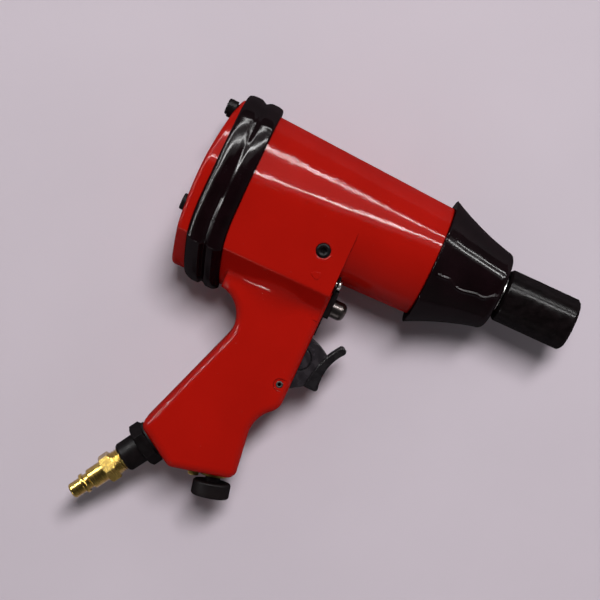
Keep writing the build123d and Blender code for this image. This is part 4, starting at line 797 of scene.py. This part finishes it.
class WRENCH_OT_boot(Operator):
    """Builds the rubber boot over the nose, slightly uneven as soft rubber is"""

    bl_idname = "wrench.boot"
    bl_label = "Nose boot"

    def execute(self, context):
        sizes = context.scene.wrench_sizes
        rubber = moulded_rubber("boot_rubber", 0.07, 0.003 * MM)
        station, out = boot_outline()
        turn = full_turn(720)
        outside_rows = 66
        outside = (np.arange(len(station)) < outside_rows)[:, None]
        reach = station[:, None]
        calm = ramp(reach, 111.0, 8.0) * ramp(reach, 148.0, -5.0) * outside
        swell = (
            np.sin(5.0 * turn + 0.22 * reach)
            + 0.8 * np.sin(3.0 * turn - 0.45 * reach + 1.3)
            + 0.6 * np.sin(8.0 * turn + 0.16 * reach + 2.1)
        )
        # The seam's way round the boot in degrees: a jog, a slow wave and a bend towards the end
        jog = 3.4 * np.tanh((reach - 122.0) / 2.0)
        wave = 0.9 * np.sin(0.48 * (reach - 113.0))
        path = np.radians(102.0 + jog + wave - 8.0 * ramp(reach, 140.0, 6.0))
        seam_half = 1.5
        off = (turn - path) * out[:, None] / seam_half
        bead = np.where(np.abs(off) < 1.0, 0.5 + 0.5 * np.cos(pi * off), 0.0) * ramp(reach, 112.5, 1.5)
        grown = out[:, None] * MM + calm * swell * sizes.boot_ripple / 2.4 + outside * bead * sizes.seam_height
        points = turned(spindle_origin, forwards, (reach - origin_station) * MM, grown)
        finished("boot_body", points[None], True, rubber, "tool", ("nose_boot",), 40.0)
        return {"FINISHED"}


class WRENCH_OT_socket(Operator):
    """Builds the impact socket with its square hole and its hexagon hole"""

    bl_idname = "wrench.socket"
    bl_label = "Impact socket"

    def execute(self, context):
        black = blackened_steel("socket_black", 0.17)
        # Stations and distances out in millimetres, and whether a row is a hexagon or a square
        profile = (
            (150.9, 6.9, 0, 1), (150.9, 13.0, 0, 0), (152.1, 14.2, 0, 0), (188.9, 14.2, 0, 0),
            (190.5, 12.6, 0, 0), (190.5, 11.5, 0, 0), (189.2, 9.5, 1, 0), (174.5, 9.5, 1, 0),
            (174.5, 5.6, 0, 0), (168.9, 5.6, 0, 0), (168.9, 6.5, 0, 1), (151.3, 6.5, 0, 1),
        )
        line = softened(profile, 0.45, 6)
        turn = full_turn(240)
        six = np.minimum(prism(turn, 6, 1.0), 1.13)
        four = np.minimum(prism(turn, 4, 1.0), 1.34)
        in_six, in_four = line[:, 2:3], line[:, 3:4]
        out = line[:, 1:2] * MM * (1.0 - in_six - in_four + in_six * six + in_four * four)
        points = turned(spindle_origin, forwards, (line[:, :1] - origin_station) * MM, out)
        finished("socket_body", points[None], True, black, "socket", ("impact_socket",), 35.0)
        return {"FINISHED"}


class WRENCH_OT_inlet(Operator):
    """Builds the hexagonal air inlet and dresses its washer"""

    bl_idname = "wrench.inlet"
    bl_label = "Air inlet"

    def execute(self, context):
        black = blackened_steel("inlet_black", 0.36)
        profile = (
            (-12.0, 8.0), (1.4, 8.0), (1.4, 10.7), (2.1, 12.1), (7.2, 12.1), (8.0, 10.5), (8.0, 8.1),
            (17.9, 8.0), (19.0, 7.1), (19.0, 6.4), (11.0, 6.4), (11.0, 4.5), (-12.0, 4.5),
        )
        line = softened(profile, 0.3) * MM
        out = np.minimum(line[:, 1:], prism(full_turn(192), 6, 10.4 * MM))
        points = turned(*inlet_line(), line[:, :1], out)
        finished("inlet_body", points[None], True, black, "tool", ("inlet_bushing",))
        dress(dark_moulding("washer_black", (0.008, 0.007, 0.007), 0.5), "inlet_washer")
        return {"FINISHED"}


class WRENCH_OT_air_plug(Operator):
    """Builds the brass quick-connect plug with its thread, hexagon and rings"""

    bl_idname = "wrench.air_plug"
    bl_label = "Air plug"

    def execute(self, context):
        sizes = context.scene.wrench_sizes
        brass = turned_brass("plug_brass", context.scene.wrench_finishes.brass, 0.2)
        thread_rows = 128
        neck = np.c_[np.linspace(11.0, 23.7, thread_rows), np.full(thread_rows, 6.35)]
        profile = (
            (24.0, 6.35), (24.0, 7.3), (24.6, 8.1), (29.3, 8.1), (30.0, 7.2), (30.0, 5.5), (38.6, 5.5),
            (39.3, 4.8), (39.3, 4.3), (41.7, 4.3), (41.7, 5.3), (42.1, 5.5), (43.3, 5.5), (43.7, 5.3),
            (43.7, 4.1), (50.2, 4.1), (51.0, 3.5), (51.0, 3.0), (11.0, 3.0),
        )
        line = np.concatenate((neck, softened(profile, 0.25))) * MM
        turn = full_turn(192)
        reach = line[:, :1]
        wave = 0.5 - 0.5 * np.cos(2.0 * pi * reach / sizes.thread_pitch - turn)
        cut = np.where((np.arange(len(line)) < thread_rows)[:, None], wave * sizes.thread_depth, 0.0)
        fade = ramp(reach, 23.6 * MM, -1.2 * MM)
        hexagon = prism(turn, 6, 7.0 * MM, radians(19.0))
        out = np.minimum(line[:, 1:], hexagon) - cut * fade
        points = turned(*inlet_line(), reach, out)
        finished("air_plug_body", points[None], True, brass, "tool", ("air_plug",), 32.0)
        return {"FINISHED"}


class WRENCH_OT_knob(Operator):
    """Builds the power knob and dresses the small parts in the handle's base"""

    bl_idname = "wrench.knob"
    bl_label = "Power knob"

    def execute(self, context):
        finishes = context.scene.wrench_finishes
        grey = dark_moulding("knob_grey", finishes.moulding, 0.4)
        hinge = joints["regulator_turn"]
        profile = (
            (9.9, 0.4), (9.9, 4.05), (4.9, 4.05), (4.9, 9.2), (5.7, 10.0), (12.3, 10.0), (13.1, 9.2), (13.1, 0.4),
        )
        line = softened(profile, 0.4)[5:-5] * MM
        out = np.repeat(line[:, 1:], 192, axis=1)
        points = turned(hinge["pos_m"], hinge["axis"], line[:, :1], out)
        finished("knob_body", points[None], False, grey, "regulator", ("regulator_knob",))
        # A darker copy of the brass for the parts in the handle's base: partly dull old brass and partly painted
        # shade under the knob.
        brass = turned_brass("base_brass", shade(finishes.brass, 0.6), 0.34)
        dress(brass, "passage_plug", "regulator_bush")
        dress(blackened_steel("stem_black", 0.34), "regulator_stem")
        return {"FINISHED"}


def cover_screws(black, sizes):
    """Four turned bodies: a shank, a head whose radius dips evenly in ribs, and a hexagon hole."""
    profile = (
        (-26.6, 0.2, 0), (-26.6, 1.9, 0), (-26.0, 2.5, 0), (0.0, 2.5, 0), (0.0, 4.25, 0), (4.55, 4.25, 0),
        (5.0, 3.8, 0), (5.0, 2.3, 0), (4.75, 2.0, 1), (2.4, 2.0, 1), (2.1, 0.2, 0),
    )
    line = softened(profile, 0.22)[5:-5]
    columns = 216
    ribbed = (line[:, :1] > 0.4) & (line[:, :1] < 4.4) & (line[:, 1:2] > 4.2)
    rib = np.where(ribbed, 0.5 - 0.5 * np.cos(sizes.knurl_count * full_turn(columns)), 0.0)
    out = hexed(line, columns) - rib * sizes.knurl_depth
    one = turned((0.0, 0.0, 0.0), (-1.0, 0.0, 0.0), line[:, :1] * MM, out)
    seats = np.array(((28.6, 11.8), (28.6, -11.8), (-24.8, 26.6), (-24.8, -26.6))) * MM
    place = np.c_[np.full(4, -17.4 * MM), seats[:, 0], spindle_height + seats[:, 1]]
    points = one[None] + place[:, None, None]
    finished("cover_screw_bodies", points, False, black, "tool", ("cover_screws",), 35.0)


def plate_screws(zinc):
    """Two turned pan heads whose top is pushed in along a cross, on straight shanks."""
    profile = ((-7.0, 0.15), (-7.0, 1.5), (0.0, 1.5), (0.0, 2.6), (0.9, 2.6))
    stem = softened(profile, 0.15, 4)[4:-4]
    rise = np.linspace(0.0, 0.5 * pi, 26)
    crown = np.c_[0.9 + np.sin(rise), 2.6 * np.cos(rise) + 0.02]
    line = np.concatenate((stem, crown)) * MM
    columns = 144
    turn = full_turn(columns)
    out = np.repeat(line[:, 1:], columns, axis=1)
    arm = np.minimum(np.abs(np.cos(turn)), np.abs(np.sin(turn))) * out
    cross = ramp(arm, 0.5 * MM, -0.14 * MM) * ramp(out, 1.7 * MM, -0.25 * MM)
    topped = (np.arange(len(line)) >= len(stem))[:, None]
    along = line[:, :1] - topped * cross * 0.8 * MM
    one = turned((0.0, 0.0, 0.0), forwards, along, out)
    place = np.array(((67.5, -31.0, 13.2), (67.5, -31.0, -13.2))) * MM + (0.0, 0.0, spindle_height)
    points = one[None] + place[:, None, None]
    finished("plate_screw_bodies", points, False, zinc, "tool", ("plate_screws",), 35.0)


class WRENCH_OT_screws(Operator):
    """Builds the cover screws' ribbed heads and the cross-recessed screws of the valve plate"""

    bl_idname = "wrench.screws"
    bl_label = "Screws"

    def execute(self, context):
        cover_screws(blackened_steel("screw_black", 0.34), context.scene.wrench_sizes)
        plate_screws(ground_steel("screw_zinc", (0.7, 0.69, 0.66), 0.24))
        return {"FINISHED"}


def trigger_pin(grey):
    """A tube across the handle: a ring's profile of height and radius, turned round +Z."""
    low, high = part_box("trigger_pin")
    middle = (low + high) / 2.0
    profile = ((low.z, 0.85 * MM), (low.z, 1.8 * MM), (high.z, 1.8 * MM), (high.z, 0.85 * MM))
    line = softened(profile, 0.35 * MM, 6)
    out = np.repeat(line[:, 1:], 96, axis=1)
    points = upright(middle.x, middle.y, line[:, :1], out)
    finished("trigger_pin_tube", points[None], True, grey, "tool", ("trigger_pin",), 40.0)


class WRENCH_OT_controls(Operator):
    """Builds the trigger's hollow pin and dresses the trigger, the valve plate and the reverse pin"""

    bl_idname = "wrench.controls"
    bl_label = "Trigger and reverse pin"

    def execute(self, context):
        finishes = context.scene.wrench_finishes
        dress(grey_casting(), "trigger")
        dress(dark_moulding("plate_black", shade(finishes.moulding, 0.8), 0.42), "valve_plate")
        dress(ground_steel("pin_steel", (0.085, 0.073, 0.07), 0.32), "reverse_valve")
        trigger_pin(ground_steel("trigger_pin_grey", shade(finishes.steel, 0.11), 0.45))
        return {"FINISHED"}


def oil_plug(black):
    """A turned plug with a raised ring and a hexagon hole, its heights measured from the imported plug's top."""
    low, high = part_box("oil_plug")
    middle = (low + high) / 2.0
    profile = (
        (-6.0, 0.2, 0), (-6.0, 3.25, 0), (0.02, 3.25, 0), (0.02, 3.75, 0), (0.22, 3.75, 0), (0.3, 3.2, 0),
        (0.56, 2.85, 0), (0.56, 2.3, 0), (0.4, 2.0, 0), (0.3, 1.55, 1), (-1.8, 1.55, 1), (-2.1, 0.2, 0),
    )
    line = softened(profile, 0.18)[5:-5]
    points = upright(middle.x, middle.y, high.z + line[:, :1] * MM, hexed(line, 144))
    finished("oil_plug_body", points[None], False, black, "tool", ("oil_plug",), 35.0)


def oil_seat(red):
    """A painted ring in the plug's counterbore: a shallow dish that steepens inwards to a straight wall."""
    low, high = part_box("oil_plug")
    middle = (low + high) / 2.0
    share = np.linspace(0.0, 1.0, 12)
    dish = np.c_[0.02 - 0.11 * share - 0.09 * share**2, 4.34 - 0.44 * share]
    line = np.concatenate((((-0.84, 3.88), (-0.84, 4.34)), dish)) * MM
    out = np.repeat(line[:, 1:], 144, axis=1)
    points = upright(middle.x, middle.y, line[:, :1], out)
    points[..., 2] += side_height(points[..., 0])
    finished("oil_seat", points[None], True, red, "tool", (), 40.0)


def oil_mark(red, sizes):
    """A raised drop: an outline of cos t and sin t * sin^1.6(t / 2), drawn in to its middle in even shares.

    The height rises with a rounded edge from below the side to a nearly flat top.
    """
    turn = full_turn(160)
    tip = np.cos(turn)
    half = np.sin(turn) * np.sin(0.5 * turn) ** 1.6
    inward = np.r_[1.06, np.linspace(1.0, 0.06, 24)][:, None]
    edge = ramp(inward, 1.0, -0.34)
    x = (54.0 - 3.4 * tip * inward) * MM
    y = (-30.7 + 3.6 * half * inward) * MM
    sunk = 0.12 * MM
    z = side_height(x) - sunk + edge * (sizes.mark_height + sunk)
    points = np.dstack((x, y, z))
    finished("oil_mark", points[None, :, ::-1], False, red, "tool", (), 50.0)


class WRENCH_OT_oil(Operator):
    """Builds the oil plug, its painted seat and a raised drop beside it"""

    bl_idname = "wrench.oil"
    bl_label = "Oil plug and mark"

    def execute(self, context):
        red = enamel("mark_enamel", 0.05 * MM)
        oil_plug(blackened_steel("plug_black", 0.26))
        oil_seat(red)
        oil_mark(red, context.scene.wrench_sizes)
        return {"FINISHED"}


def throttle_coil(bright):
    """Four turns of round wire along +X, the wire's section square to its way."""
    low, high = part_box("throttle_spring")
    wire = 0.55 * MM
    share = np.linspace(0.0, 1.0, 193)
    wind = 8.0 * pi * share
    radial = np.c_[np.zeros_like(wind), np.cos(wind), np.sin(wind)]
    start = np.array((low.x + wire, (low.y + high.y) / 2.0, (low.z + high.z) / 2.0))
    reach = (high.x - low.x - 2.0 * wire) * share[:, None] * np.array(forwards)
    middle = start + reach + ((high.z - low.z) / 2.0 - wire) * radial
    way = np.gradient(middle, axis=0)
    across = np.cross(way / np.linalg.norm(way, axis=1, keepdims=True), radial)
    turn = full_turn(16)[:, None]
    points = middle[:, None] + wire * (np.cos(turn) * radial[:, None] + np.sin(turn) * across[:, None])
    nodes = ("throttle_spring",)
    coil = finished("throttle_coil", points[None], False, bright, "tool", nodes, 50.0)
    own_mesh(coil)


class WRENCH_OT_inner(Operator):
    """Winds the throttle's spring, and dresses the motor, the hammers and the other inner pieces"""

    bl_idname = "wrench.inner"
    bl_label = "Inner pieces"

    def execute(self, context):
        bright = ground_steel("inner_steel", context.scene.wrench_finishes.steel, 0.26)
        dress(
            bright, "rotor", "hammer_cage", "rear_hammer", "front_hammer", "hammer_pins", "anvil",
            "cylinder_dowel", "rear_bearing_outer_race", "rear_bearing_inner_race", "rear_bearing_balls",
            "front_bearing_outer_race", "front_bearing_inner_race", "front_bearing_balls", "throttle_valve",
            "socket_ring", "inlet_screen",
        )
        throttle_coil(bright)
        iron = ground_steel("motor_iron", (0.2, 0.2, 0.21), 0.42, (900.0, 900.0, 900.0))
        dress(iron, "motor_cylinder", "rear_end_plate", "front_end_plate")
        bronze = turned_brass("bush_bronze", (0.5, 0.33, 0.13), 0.34)
        dress(bronze, "anvil_bushing", "throttle_seat", "exhaust_silencer")
        dress(pressed_fibre("brown_fibre", (0.16, 0.09, 0.045)), "rotor_vanes", "cover_gasket")
        return {"FINISHED"}


operators = (
    WRENCH_OT_stage, WRENCH_OT_castings, WRENCH_OT_bumper, WRENCH_OT_boot, WRENCH_OT_socket, WRENCH_OT_inlet,
    WRENCH_OT_air_plug, WRENCH_OT_knob, WRENCH_OT_screws, WRENCH_OT_controls, WRENCH_OT_oil, WRENCH_OT_inner,
)


class WRENCH_PT_panel(Panel):
    """Lists the wrench's pieces and their settings"""

    bl_label = "Impact wrench"
    bl_idname = "WRENCH_PT_panel"
    bl_space_type = "VIEW_3D"
    bl_region_type = "UI"
    bl_category = "Impact wrench"

    def draw(self, context):
        scene = context.scene
        for group in (scene.wrench_finishes, scene.wrench_sizes, scene.wrench_stage):
            box = self.layout.box()
            for key in group.__annotations__:
                box.prop(group, key)
        for operator in operators:
            self.layout.operator(operator.bl_idname)


groups = (WrenchFinishes, WrenchSizes, WrenchStage)


def register():
    for entry in groups + operators + (WRENCH_PT_panel,):
        bpy.utils.register_class(entry)
    bpy.types.Scene.wrench_finishes = PointerProperty(type=WrenchFinishes)
    bpy.types.Scene.wrench_sizes = PointerProperty(type=WrenchSizes)
    bpy.types.Scene.wrench_stage = PointerProperty(type=WrenchStage)


def unregister():
    del bpy.types.Scene.wrench_stage
    del bpy.types.Scene.wrench_sizes
    del bpy.types.Scene.wrench_finishes
    for entry in reversed(groups + operators + (WRENCH_PT_panel,)):
        bpy.utils.unregister_class(entry)


def main():
    register()
    bpy.ops.wrench.stage()
    bpy.ops.wrench.castings()
    bpy.ops.wrench.bumper()
    bpy.ops.wrench.boot()
    bpy.ops.wrench.socket()
    bpy.ops.wrench.inlet()
    bpy.ops.wrench.air_plug()
    bpy.ops.wrench.knob()
    bpy.ops.wrench.screws()
    bpy.ops.wrench.controls()
    bpy.ops.wrench.oil()
    bpy.ops.wrench.inner()


if __name__ == "__main__":
    main()
